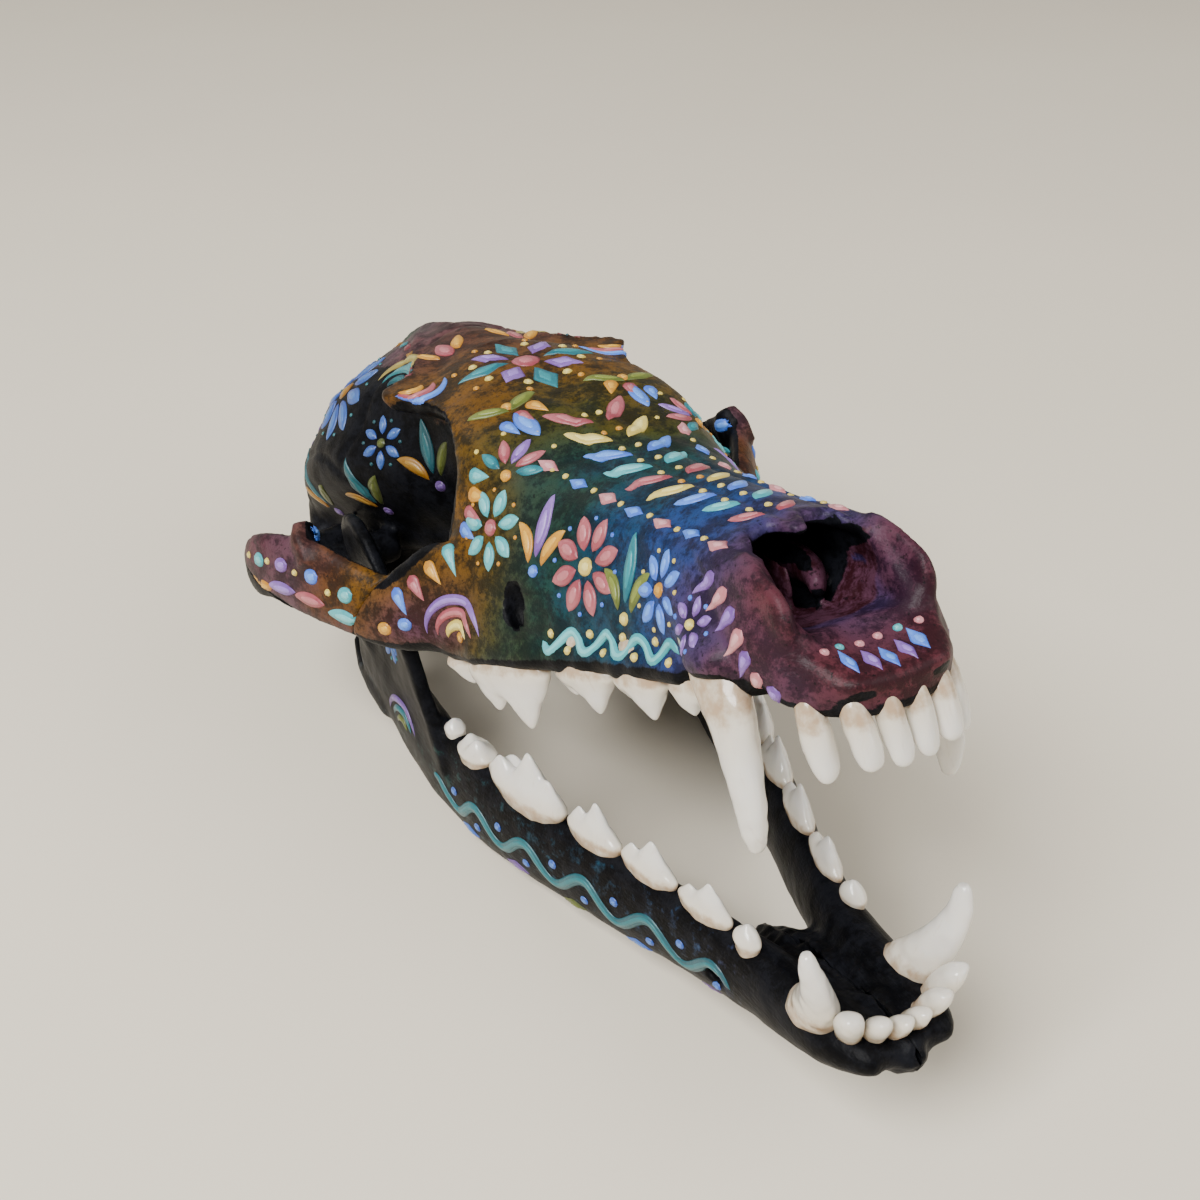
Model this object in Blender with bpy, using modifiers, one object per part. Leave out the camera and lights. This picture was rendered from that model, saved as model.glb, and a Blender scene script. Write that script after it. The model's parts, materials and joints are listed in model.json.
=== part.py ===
"""Life-size red fox skull with its jaw open, lying on its lower jaw.

The skull is drawn in a local frame, in millimetres: x to the animal's left, s backwards from the front
edge of the upper jaw, and z up from the line where the upper teeth leave the bone. Three empties place it:
one tips the whole skull nose up, one opens the lower jaw about the jaw hinge.
"""

import math

import bmesh
import bpy
from mathutils import Matrix, Vector

MM = 0.001

# Pose, in degrees
NOSE_UP = 26.0
GAPE = 20.2

# Paints, and how dull they are
PETROL_PAINT = (0.055, 0.06, 0.065)
MAROON_PAINT = (0.16, 0.06, 0.08)
BLACK_PAINT = (0.012, 0.013, 0.015)
SATIN = 0.42

# Driving sizes of the skull, in millimetres
JAW_HINGE = Vector((0.0, 107.0, 6.0))
CONDYLE_MIDDLE = 23.4
CONDYLE_RADII = (7.4, 3.2, 2.9)
JOINT_GAP = 0.35
SUTURE_GAP = 0.3
FLOOR_CUT = 0.6

# The cuts at the cheek sutures: place, turn about z and lean about x in degrees, then the blade's size
FRONT_SUTURE = ((28.6, 73.6, 8.4), 0.0, 40.0)
REAR_SUTURE = ((36.4, 94.0, 14.6), 0.0, -54.0)
SUTURE_REACH = (16.0, SUTURE_GAP, 26.0)

# How the corners of a skull section round off, in shares of its own sizes
FLOOR_FLAT = 0.82
FLOOR_ROUND = 0.3
SHOULDER = (0.45, 0.6)

# Mesh fineness
FUSE_VOXEL = 0.75
HEAD_TRIANGLES = 6600
JAW_TRIANGLES = 1250

# Sections of the face: s, then floor, middle and roof as (height, half width), then the height of the crown
FACE_SECTIONS = (
    (0.4, (0.8, 4.4), (1.6, 5.0), (2.2, 3.6), 1.9),
    (2.6, (0.3, 6.8), (1.9, 6.8), (3.0, 5.2), 2.6),
    (4.6, (0.2, 8.0), (2.6, 7.7), (4.0, 6.2), 3.5),
    (6.4, (0.2, 8.9), (3.9, 8.6), (6.2, 7.2), 4.4),
    (9.0, (0.2, 10.1), (5.4, 10.0), (11.2, 7.9), 5.8),
    (12.5, (0.2, 10.8), (6.2, 10.7), (13.0, 7.8), 13.9),
    (20.0, (0.3, 11.0), (7.0, 11.0), (14.4, 7.4), 15.9),
    (30.0, (0.3, 11.8), (7.4, 11.6), (16.0, 7.4), 17.9),
    (40.0, (0.3, 13.8), (8.0, 13.6), (18.0, 8.0), 20.0),
    (48.0, (0.3, 17.4), (8.6, 16.5), (20.4, 9.4), 22.6),
    (55.0, (0.3, 20.4), (9.6, 18.6), (23.8, 11.6), 25.8),
    (62.0, (0.5, 21.4), (10.6, 19.8), (27.4, 13.0), 29.4),
    (70.0, (0.8, 19.8), (11.0, 18.0), (30.4, 13.6), 33.0),
)
# Sections of the wall between the eyes and of the braincase behind it
VAULT_SECTIONS = (
    (56.0, (9.0, 6.0), (17.0, 9.0), (24.0, 10.4), 26.0),
    (64.0, (8.5, 7.0), (18.0, 9.4), (28.0, 11.8), 30.2),
    (72.0, (9.0, 6.6), (19.0, 8.6), (31.0, 12.4), 34.0),
    (80.0, (9.6, 6.8), (20.0, 8.8), (33.0, 12.4), 36.6),
    (88.0, (9.8, 8.0), (21.0, 10.8), (34.0, 10.4), 38.4),
    (95.0, (9.8, 10.5), (22.0, 16.4), (35.0, 11.8), 40.2),
    (103.0, (9.6, 13.5), (23.0, 21.0), (36.0, 13.6), 41.4),
    (112.0, (9.5, 16.0), (23.6, 23.2), (36.0, 14.4), 41.4),
    (120.0, (9.5, 18.0), (23.0, 23.2), (35.0, 14.0), 40.2),
    (127.0, (9.4, 18.6), (20.6, 22.2), (33.2, 13.0), 38.4),
    (133.0, (9.0, 16.6), (18.6, 20.4), (31.4, 11.6), 36.6),
    (138.0, (8.6, 12.6), (17.6, 16.6), (30.2, 9.6), 35.2),
    (141.6, (9.0, 8.6), (17.0, 11.8), (28.8, 7.4), 33.6),
    (143.6, (10.4, 5.6), (17.6, 8.0), (27.0, 5.2), 31.6),
)
# The bone above the grinding teeth and the rear of the palate
MOLAR_SECTIONS = (
    (58.0, (0.3, 19.6), (3.0, 20.2), (7.0, 16.6), 8.6),
    (68.0, (0.5, 20.4), (3.2, 20.6), (7.2, 16.2), 8.8),
    (74.0, (0.7, 17.8), (3.4, 18.2), (6.8, 14.4), 8.4),
    (77.4, (1.4, 13.8), (3.6, 14.8), (6.2, 12.0), 7.4),
)
# The air of the nose, from its opening backwards
NOSE_SECTIONS = (
    (4.0, (5.6, 3.0), (8.4, 5.2), (12.6, 4.8), 14.6),
    (8.0, (5.6, 3.4), (8.4, 5.4), (12.2, 4.9), 13.8),
    (10.0, (5.4, 3.8), (8.6, 5.7), (12.0, 5.0), 13.2),
    (14.0, (5.1, 4.4), (8.6, 6.6), (12.4, 5.5), 13.4),
    (20.0, (5.2, 4.6), (9.0, 6.6), (13.4, 5.0), 14.6),
    (28.0, (5.8, 3.4), (9.6, 5.2), (13.6, 3.6), 14.8),
    (36.0, (7.4, 2.0), (9.8, 3.0), (12.2, 1.8), 12.8),
)
# The nasal bones' free edge, cut back in two bows: (x, s) seen from above, left half
NOSE_NOTCH = (
    (5.5, -6.0),
    (5.6, 10.2),
    (5.0, 13.4),
    (3.8, 15.9),
    (2.2, 16.2),
    (0.9, 13.8),
    (0.0, 12.6),
)
# The forehead's flat roof with its two side points: (x, s, z of its top)
FOREHEAD_ROOF = (
    (0.0, 58.0, 27.0),
    (11.2, 60.0, 26.2),
    (13.2, 66.0, 28.4),
    (14.6, 73.0, 31.4),
    (16.6, 78.6, 33.6),
    (18.7, 81.9, 33.9),
    (17.4, 83.6, 34.2),
    (13.0, 85.6, 35.6),
    (9.6, 92.0, 37.6),
    (0.0, 97.0, 39.4),
)
FOREHEAD_THICKNESS = 3.0
# The body of the jaw: s, middle line x, top edge z, lower edge z and half thickness
JAW_SECTIONS = (
    (1.8, 2.8, -3.4, -5.8, 2.2),
    (4.0, 3.6, -2.6, -7.2, 3.1),
    (9.0, 4.4, -2.2, -9.4, 4.0),
    (16.0, 5.0, -2.6, -12.0, 3.6),
    (24.0, 6.6, -2.9, -13.8, 2.9),
    (34.0, 9.3, -3.1, -15.0, 2.7),
    (46.0, 12.9, -3.2, -15.9, 2.9),
    (58.0, 16.3, -3.0, -17.0, 3.0),
    (68.0, 18.8, -2.4, -17.5, 2.9),
    (78.0, 20.6, -0.5, -17.2, 2.5),
    (86.0, 21.7, 2.0, -15.4, 2.1),
    (94.0, 22.3, 4.0, -12.0, 1.9),
    (100.0, 22.6, 5.0, -9.4, 1.8),
    (105.0, 22.8, 5.4, -8.0, 1.6),
)
# The upright blade behind the lower teeth, seen from the side: (s, z)
BLADE_OUTLINE = (
    (74.0, -8.0),
    (76.5, 0.0),
    (79.5, 7.0),
    (83.0, 14.5),
    (87.0, 19.6),
    (91.0, 22.4),
    (95.0, 23.4),
    (99.0, 22.8),
    (101.4, 20.4),
    (101.6, 17.0),
    (101.2, 13.0),
    (102.0, 9.6),
    (105.0, 6.6),
    (105.0, -7.0),
    (96.0, -10.0),
)
BLADE_MIDDLE = 22.4
BLADE_LEAN = 0.06
BLADE_HALF_THICKNESS = 1.1

# Paths of (x, s, z, half height, half thickness)
CHEEK_ARCH = (
    (15.0, 57.0, 7.4, 7.0, 3.0),
    (20.4, 64.5, 8.0, 7.4, 2.9),
    (23.6, 68.4, 7.5, 6.0, 2.7),
    (26.4, 72.0, 7.3, 4.9, 2.4),
    (30.0, 77.0, 10.0, 5.1, 1.9),
    (33.2, 82.5, 12.9, 5.6, 1.7),
    (36.4, 90.0, 14.9, 4.8, 1.6),
    (37.3, 96.5, 14.5, 4.0, 1.6),
    (35.0, 103.0, 13.6, 3.3, 2.0),
    (28.6, 109.0, 12.8, 3.0, 3.0),
    (19.0, 112.0, 13.0, 3.2, 4.0),
)
CHEEK_POINT = ((32.8, 82.0, 14.6, 3.4, 1.9), (32.6, 82.6, 17.6, 2.8, 1.7), (32.2, 83.0, 20.4, 1.5, 1.2))
PTERYGOID_WALL = (
    (8.6, 72.0, 4.6, 4.6, 1.2),
    (7.4, 80.0, 6.0, 4.4, 1.0),
    (6.8, 88.0, 6.4, 4.6, 0.9),
    (6.6, 94.0, 6.8, 4.0, 0.8),
    (6.6, 99.0, 5.0, 1.6, 0.8),
)
NUCHAL_CREST = (
    (0.0, 143.4, 34.6, 2.0, 2.2),
    (5.6, 142.4, 32.6, 2.0, 2.2),
    (10.6, 139.6, 28.6, 2.0, 2.2),
    (15.4, 135.8, 23.4, 2.0, 2.4),
    (19.2, 131.0, 17.6, 2.2, 2.6),
    (20.8, 126.0, 12.6, 2.4, 2.8),
)
# The thin rim on each side of the nose's opening, from the nasal bone down to the floor
NOSE_RIM = (
    (7.0, 13.0, 13.0, 1.4, 1.1),
    (7.5, 9.8, 11.4, 1.5, 1.0),
    (7.8, 7.0, 9.6, 1.5, 1.0),
    (7.8, 5.9, 8.0, 1.4, 1.0),
    (7.4, 6.8, 6.0, 1.3, 1.1),
    (6.6, 7.2, 4.6, 1.2, 1.3),
)
# The bulge of the cheek bone over each upper fang's root
FANG_SOCKET = ((10.7, 15.2, 2.5), (2.7, 4.0, 2.3))
FANG_BULGE = (
    (10.4, 15.8, 3.2, 2.6, 2.2),
    (9.9, 18.4, 5.6, 2.8, 2.2),
    (9.0, 22.0, 8.6, 2.4, 1.9),
    (8.0, 26.0, 11.2, 1.6, 1.4),
)
CROWN_CREST = (
    (0.0, 100.0, 40.6, 0.8, 1.2),
    (0.0, 112.0, 41.6, 1.0, 1.2),
    (0.0, 124.0, 40.2, 1.4, 1.2),
    (0.0, 134.0, 37.8, 1.8, 1.2),
    (0.0, 143.4, 35.0, 1.8, 1.4),
)
PAROCCIPITAL = (
    (15.6, 128.6, 15.0, 4.0, 4.0),
    (17.8, 131.4, 8.4, 3.4, 2.8),
    (19.4, 133.6, 3.0, 2.4, 2.1),
    (20.2, 135.2, -2.6, 1.5, 1.4),
)
HINGE_LIP = ((18.0, 110.6, 4.4, 2.0, 1.3), (23.0, 111.2, 4.0, 2.4, 1.4), (28.0, 110.6, 5.2, 1.8, 1.2))
HINGE_ROOF = ((15.0, 106.6, 11.4, 2.6, 3.6), (22.0, 106.6, 11.2, 2.4, 4.0), (29.0, 106.8, 12.0, 2.2, 3.2))
JAW_HEEL = (
    (22.6, 97.0, -9.4, 2.6, 1.8),
    (22.9, 104.0, -8.6, 2.2, 1.6),
    (22.6, 109.0, -7.4, 1.7, 1.4),
    (22.0, 113.0, -5.0, 1.1, 1.0),
)
JAW_NECK = ((22.6, 98.0, 1.0, 4.0, 1.8), (22.9, 103.0, 4.4, 3.0, 2.6), (23.2, 106.4, 5.6, 2.2, 3.6))

# Rings of a cheek tooth's root as (share of the crown's size, depth), and how its crown rises
ROOT_RINGS = ((0.5, -5.0), (0.78, -2.2), (0.95, -0.3))
SHOULDER_RISE = 0.12
SHOULDER_SLOPE = 0.1
POINT_SPREAD = 1.5
POINT_BLUNTNESS = 0.85
# Rings of a front tooth: place from 0 at the root's end over 1 at the neck to 2 at the tip, then size shares
CHISEL_RINGS = (
    (0.0, 0.5, 0.5),
    (0.6, 0.85, 0.9),
    (1.0, 1.0, 1.0),
    (1.35, 1.08, 0.92),
    (1.7, 0.98, 0.68),
    (1.9, 0.8, 0.46),
    (2.0, 0.46, 0.26),
)
# Teeth, by name: where the crown leaves the bone (x, s, z), its half length along the row, its half width
# across, the turn of the row in degrees, its height, and its points as (along, across, share of the height,
# reach)
UPPER_TEETH = {
    "cheek_1": ((10.3, 23.4, 0.2), 2.2, 1.5, 4.0, 3.1, ((-0.1, 0.0, 1.0, 1.0),)),
    "cheek_2": ((11.7, 31.4, 0.2), 4.2, 1.7, 8.0, 4.3, ((-0.12, 0.0, 1.0, 0.8), (0.62, 0.0, 0.4, 0.34))),
    "cheek_3": ((13.5, 41.2, 0.2), 4.6, 1.9, 13.0, 4.9, ((-0.1, 0.0, 1.0, 0.8), (0.62, 0.0, 0.42, 0.34))),
    "shearer": (
        (18.0, 54.9, 0.2),
        7.0,
        2.3,
        17.0,
        8.0,
        ((-0.4, 0.1, 1.0, 0.62), (0.5, 0.1, 0.62, 0.5), (-0.74, -0.6, 0.3, 0.3)),
    ),
    "grinder_1": (
        (16.6, 66.0, 0.3),
        4.3,
        5.6,
        -6.0,
        3.8,
        ((-0.4, 0.62, 1.0, 0.5), (0.42, 0.58, 0.86, 0.46), (-0.2, -0.3, 0.6, 0.42), (0.2, -0.72, 0.42, 0.4)),
    ),
    "grinder_2": (
        (14.6, 72.8, 0.6),
        2.6,
        3.9,
        -10.0,
        2.6,
        ((-0.3, 0.55, 1.0, 0.6), (0.45, 0.4, 0.7, 0.5), (0.0, -0.5, 0.6, 0.6)),
    ),
}
LOWER_TEETH = {
    "cheek_1": ((7.0, 22.0, -3.2), 1.9, 1.4, 4.0, 2.4, ((0.0, 0.0, 1.0, 1.0),)),
    "cheek_2": ((8.4, 29.4, -3.2), 3.9, 1.6, 13.0, 3.7, ((-0.14, 0.0, 1.0, 0.8), (0.6, 0.0, 0.4, 0.34))),
    "cheek_3": ((10.9, 38.8, -3.2), 4.3, 1.8, 15.0, 4.1, ((-0.1, 0.0, 1.0, 0.8), (0.6, 0.0, 0.42, 0.34))),
    "cheek_4": ((13.7, 47.6, -3.2), 4.5, 2.0, 15.0, 4.8, ((-0.12, 0.0, 1.0, 0.78), (0.5, 0.0, 0.5, 0.34))),
    "shearer": (
        (17.0, 60.0, -3.2),
        7.4,
        2.8,
        13.0,
        7.2,
        ((-0.2, 0.1, 1.0, 0.5), (-0.68, 0.1, 0.6, 0.4), (0.58, 0.3, 0.42, 0.4), (0.5, -0.5, 0.36, 0.36)),
    ),
    "grinder_2": ((19.3, 70.8, -2.4), 3.1, 2.2, 12.0, 2.6, ((-0.3, 0.2, 1.0, 0.6), (0.45, -0.1, 0.7, 0.5))),
    "grinder_3": ((20.2, 75.8, -1.4), 1.5, 1.3, 12.0, 1.6, ((0.0, 0.0, 1.0, 1.0),)),
}
# Front teeth, by name: root, neck and tip as (x, s, z), then half length along the row and half width at the
# neck
UPPER_FRONT_TEETH = {
    "front_1": ((1.6, 4.6, 2.1), (1.6, 2.2, 0.4), (1.4, 1.2, -6.8), 1.25, 1.4),
    "front_2": ((4.5, 5.6, 2.4), (4.6, 3.1, 0.4), (4.4, 1.4, -6.4), 1.4, 1.5),
    "front_3": ((7.1, 8.0, 3.6), (7.3, 5.8, 0.4), (7.4, 4.4, -7.4), 1.65, 1.75),
}
LOWER_FRONT_TEETH = {
    "front_1": ((1.3, 5.0, -6.0), (1.3, 3.0, -3.0), (1.2, 1.5, 0.8), 1.1, 1.3),
    "front_2": ((3.3, 5.6, -6.0), (3.6, 3.6, -2.8), (3.7, 1.9, 1.3), 1.3, 1.5),
    "front_3": ((5.0, 6.8, -6.0), (5.7, 4.8, -2.6), (6.2, 3.2, 1.7), 1.4, 1.6),
}
# Fangs, as paths of (x, s, z, half length along the row, half width) from root to tip
UPPER_FANG = (
    (9.4, 21.0, 7.0, 2.4, 1.6),
    (10.2, 17.6, 3.6, 3.1, 2.1),
    (10.7, 14.8, 0.4, 3.4, 2.3),
    (11.3, 13.0, -4.4, 2.8, 2.0),
    (11.6, 12.6, -9.6, 2.0, 1.5),
    (11.5, 13.2, -13.4, 1.3, 1.1),
    (11.4, 13.8, -14.6, 0.7, 0.6),
)
LOWER_FANG = (
    (4.8, 15.0, -8.2, 2.4, 2.0),
    (5.6, 11.6, -5.6, 3.3, 2.9),
    (6.1, 9.2, -2.4, 3.4, 2.6),
    (7.4, 7.3, 1.6, 2.5, 1.9),
    (8.8, 6.4, 5.4, 1.6, 1.3),
    (9.4, 6.5, 8.2, 1.0, 0.9),
    (9.5, 6.7, 9.2, 0.5, 0.5),
)


def clear_scene():
    """Removes what the scene holds, its objects first."""
    for found in list(bpy.data.objects):
        bpy.data.objects.remove(found)
    for found in list(bpy.data.meshes):
        bpy.data.meshes.remove(found)


def new_collection(name, shown=True):
    made = bpy.data.collections.new(name)
    bpy.context.scene.collection.children.link(made)
    made.hide_render = not shown
    return made


def material(name, colour, roughness, metallic=0.0):
    made = bpy.data.materials.new(name)
    made.use_nodes = True
    shader = made.node_tree.nodes["Principled BSDF"]
    shader.inputs["Base Color"].default_value = (*colour, 1.0)
    shader.inputs["Roughness"].default_value = roughness
    shader.inputs["Metallic"].default_value = metallic
    made.diffuse_color = (*colour, 1.0)
    return made


def lerp(a, b, t):
    return a + (b - a) * t


def spline(rows, place):
    """The row of numbers at place, on a smooth curve through rows, each starting with its own place."""
    places = [row[0] for row in rows]
    k = max(0, min(len(rows) - 2, sum(p <= place for p in places) - 1))
    before, a, b, after = (rows[max(0, min(len(rows) - 1, i))] for i in (k - 1, k, k + 1, k + 2))
    span = b[0] - a[0]
    t = max(0.0, min(1.0, (place - a[0]) / span))
    made = []
    for p0, p1, p2, p3 in zip(before, a, b, after):
        m1 = (p2 - p0) * span / max(b[0] - before[0], 1e-6)
        m2 = (p3 - p1) * span / max(after[0] - a[0], 1e-6)
        made.append(
            (2 * t**3 - 3 * t**2 + 1) * p1
            + (t**3 - 2 * t**2 + t) * m1
            + (3 * t**2 - 2 * t**3) * p2
            + (t**3 - t**2) * m2
        )
    return made


def flat_row(section):
    """A section as one row of numbers."""
    s, floor, middle, roof, top = section
    return (s, *floor, *middle, *roof, top)


def skull_ring(sections, s, count):
    """A closed ring of points across the skull at s, smooth through floor, middle, roof and crown."""
    _, zf, wf, zm, wm, zr, wr, zt = spline([flat_row(row) for row in sections], s)
    floor_corner = [(0.0, zf), (wf * FLOOR_FLAT, zf), (wf, lerp(zf, zm, FLOOR_ROUND))]
    shoulder = [(wm, zm), (lerp(wm, wr, SHOULDER[0]), lerp(zm, zr, SHOULDER[1])), (wr, zr)]
    half = floor_corner + shoulder
    outline = half + [(0.0, zt)] + [(-x, z) for x, z in half[:0:-1]]
    rows = [(float(i), *outline[i % len(outline)]) for i in range(-2, len(outline) + 3)]
    ring = []
    for i in range(count):
        _, x, z = spline(rows, i * len(outline) / count)
        ring.append(Vector((x, s, z)))
    return ring


def mesh_object(name, build, home):
    """An object whose mesh is what build puts in a bmesh, in millimetres."""
    shape = bmesh.new()
    build(shape)
    bmesh.ops.recalc_face_normals(shape, faces=shape.faces)
    bmesh.ops.scale(shape, vec=(MM, MM, MM), verts=shape.verts)
    mesh = bpy.data.meshes.new(name)
    shape.to_mesh(mesh)
    shape.free()
    made = bpy.data.objects.new(name, mesh)
    home.objects.link(made)
    return made


def loft(shape, rings):
    """Skins a row of rings, each with as many points, and caps both ends."""
    loops = [[shape.verts.new(point) for point in ring] for ring in rings]
    for first, second in zip(loops, loops[1:]):
        for i in range(len(first)):
            j = (i + 1) % len(first)
            shape.faces.new((first[i], first[j], second[j], second[i]))
    shape.faces.new(list(reversed(loops[0])))
    shape.faces.new(loops[-1])


def skull_loft(name, sections, home, rings=40, count=36):
    """The solid through a row of skull sections."""
    first, last = sections[0][0], sections[-1][0]
    places = [lerp(first, last, i / (rings - 1)) for i in range(rings)]
    made = [skull_ring(sections, s, count) for s in places]
    return mesh_object(name, lambda shape: loft(shape, made), home)


def tube_rings(points, count):
    """Upright rings square to a path of points (x, s, z, half height, half thickness)."""
    rings = []
    for i, (x, s, z, high, thick) in enumerate(points):
        before, after = points[max(i - 1, 0)], points[min(i + 1, len(points) - 1)]
        along = (Vector(after[:3]) - Vector(before[:3])).normalized()
        side = along.cross(Vector((0, 0, 1)))
        side = side.normalized() if side.length > 1e-4 else Vector((1, 0, 0))
        up = side.cross(along)
        angles = [2 * math.pi * k / count for k in range(count)]
        centre = Vector((x, s, z))
        ring = [centre + side * (thick * math.cos(a)) + up * (high * math.sin(a)) for a in angles]
        rings.append(ring)
    return rings


def tube(name, path, home, steps=24, count=14):
    """A bone of oval section along a smooth path of (x, s, z, half height, half thickness)."""
    rows = [(float(i), *point) for i, point in enumerate(path)]
    points = [spline(rows, i * (len(path) - 1) / steps)[1:] for i in range(steps + 1)]
    return mesh_object(name, lambda shape: loft(shape, tube_rings(points, count)), home)


def ellipsoid(name, centre, radii, home, turn=(0.0, 0.0, 0.0), segments=24):
    """An ellipsoid at centre, turned by turn in degrees about x, s and z."""

    def build(shape):
        bmesh.ops.create_uvsphere(shape, u_segments=segments, v_segments=segments // 2, radius=1.0)
        about_x, about_s, about_z = (math.radians(angle) for angle in turn)
        turned = Matrix.Rotation(about_z, 4, "Z") @ Matrix.Rotation(about_s, 4, "Y")
        turned = turned @ Matrix.Rotation(about_x, 4, "X")
        placed = Matrix.Translation(centre) @ turned @ Matrix.Diagonal((*radii, 1.0))
        bmesh.ops.transform(shape, matrix=placed, verts=shape.verts)

    return mesh_object(name, build, home)


def plate(name, outline, middle, half_thickness, lean, home):
    """A flat bone seen from the side: outline in (s, z) at x = middle, leaning out by lean for each mm."""

    def build(shape):
        sides = []
        for side in (-1, 1):
            offset = middle + side * half_thickness
            sides.append([shape.verts.new((offset + lean * z, s, z)) for s, z in outline])
        inner, outer = sides
        for i in range(len(outline)):
            j = (i + 1) % len(outline)
            shape.faces.new((inner[i], inner[j], outer[j], outer[i]))
        shape.faces.new(list(reversed(inner)))
        shape.faces.new(outer)

    return mesh_object(name, build, home)


def on_both_sides(make, name, points, home, **more):
    """Makes a bone on the animal's left and its mirror image on the right."""
    made = [make(f"{name}_left", points, home, **more)]
    mirrored = [(-p[0], *p[1:]) for p in points]
    made.append(make(f"{name}_right", mirrored, home, **more))
    return made


def ellipsoids_on_both_sides(name, centre, radii, home, turn=(0.0, 0.0, 0.0)):
    x, s, z = centre
    left = ellipsoid(f"{name}_left", (x, s, z), radii, home, turn)
    right = ellipsoid(f"{name}_right", (-x, s, z), radii, home, (turn[0], -turn[1], -turn[2]))
    return [left, right]


def apply_modifiers(piece):
    """Replaces the object's mesh by what its modifiers make of it."""
    bpy.context.view_layer.update()
    graph = bpy.context.evaluated_depsgraph_get()
    mesh = bpy.data.meshes.new_from_object(piece.evaluated_get(graph))
    piece.modifiers.clear()
    old, piece.data = piece.data, mesh
    bpy.data.meshes.remove(old)


def fuse(name, pieces, home, voxel=FUSE_VOXEL, smoothing=4):
    """One bone from overlapping pieces: joined, skinned afresh on a grid, and eased where they meet."""
    shape = bmesh.new()
    for piece in pieces:
        shape.from_mesh(piece.data)
        bpy.data.objects.remove(piece)
    mesh = bpy.data.meshes.new(name)
    shape.to_mesh(mesh)
    shape.free()
    made = bpy.data.objects.new(name, mesh)
    home.objects.link(made)
    remesh = made.modifiers.new("skin", "REMESH")
    remesh.mode = "VOXEL"
    remesh.voxel_size = voxel * MM
    if smoothing:
        ease = made.modifiers.new("ease", "SMOOTH")
        ease.factor = 0.5
        ease.iterations = smoothing
    apply_modifiers(made)
    return made


def combine(piece, others, operation, solver="EXACT"):
    """Joins others to piece, or cuts them from it, and removes them."""
    helpers = bpy.data.collections.new(f"{piece.name}_{operation.lower()}")
    bpy.context.scene.collection.children.link(helpers)
    for other in others:
        for home in list(other.users_collection):
            home.objects.unlink(other)
        helpers.objects.link(other)
    boolean = piece.modifiers.new(operation.lower(), "BOOLEAN")
    boolean.operation = operation
    boolean.operand_type = "COLLECTION"
    boolean.collection = helpers
    boolean.solver = solver
    apply_modifiers(piece)
    for other in list(helpers.objects):
        bpy.data.objects.remove(other)
    bpy.data.collections.remove(helpers)


def thin_out(piece, triangles):
    """Fewer triangles, with the outline kept."""
    shape = bmesh.new()
    shape.from_mesh(piece.data)
    bmesh.ops.triangulate(shape, faces=shape.faces)
    shape.to_mesh(piece.data)
    count = len(shape.faces)
    shape.free()
    fewer = piece.modifiers.new("fewer", "DECIMATE")
    fewer.ratio = min(1.0, triangles / count)
    apply_modifiers(piece)


def islands(shape):
    """The separate surfaces of a bmesh, each a set of vertices, largest first."""
    left = set(shape.verts)
    found = []
    while left:
        island, edge = set(), [left.pop()]
        while edge:
            vert = edge.pop()
            island.add(vert)
            near = {link.other_vert(vert) for link in vert.link_edges} & left
            left -= near
            edge.extend(near)
        found.append(island)
    return sorted(found, key=len, reverse=True)


def keep_largest(piece):
    """Drops every loose scrap and sealed hollow, and keeps the bone's own surface."""
    shape = bmesh.new()
    shape.from_mesh(piece.data)
    loose = [vert for island in islands(shape)[1:] for vert in island]
    bmesh.ops.delete(shape, geom=loose, context="VERTS")
    shape.to_mesh(piece.data)
    shape.free()


def slab(name, lowest, highest, home):
    """A box cutter between two corners."""

    def build(shape):
        bmesh.ops.create_cube(shape, size=1.0)
        size = Vector(highest) - Vector(lowest)
        middle = (Vector(highest) + Vector(lowest)) / 2
        placed = Matrix.Translation(middle) @ Matrix.Diagonal((*size, 1.0))
        bmesh.ops.transform(shape, matrix=placed, verts=shape.verts)

    return mesh_object(name, build, home)


def roof_plate(name, outline, thickness, home):
    """The forehead's roof: a thick sheet over an outline and its mirror image."""

    def build(shape):
        whole = list(outline) + [(-x, s, z) for x, s, z in reversed(outline) if x > 0]
        upper = [shape.verts.new(point) for point in whole]
        lower = [shape.verts.new((x * 0.9, s, z - thickness)) for x, s, z in whole]
        for i in range(len(whole)):
            j = (i + 1) % len(whole)
            shape.faces.new((upper[i], upper[j], lower[j], lower[i]))
        shape.faces.new(upper)
        shape.faces.new(list(reversed(lower)))

    return mesh_object(name, build, home)


def prism(name, outline, lowest, highest, home):
    """A cutter that stands on an outline seen from above, between two heights."""

    def build(shape):
        face = shape.faces.new([shape.verts.new((x, s, lowest)) for x, s in outline])
        grown = bmesh.ops.extrude_face_region(shape, geom=[face], use_keep_orig=True)
        moved = [item for item in grown["geom"] if isinstance(item, bmesh.types.BMVert)]
        bmesh.ops.translate(shape, vec=(0, 0, highest - lowest), verts=moved)

    return mesh_object(name, build, home)


def condyle_place():
    return (CONDYLE_MIDDLE, JAW_HINGE.y, JAW_HINGE.z)


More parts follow.
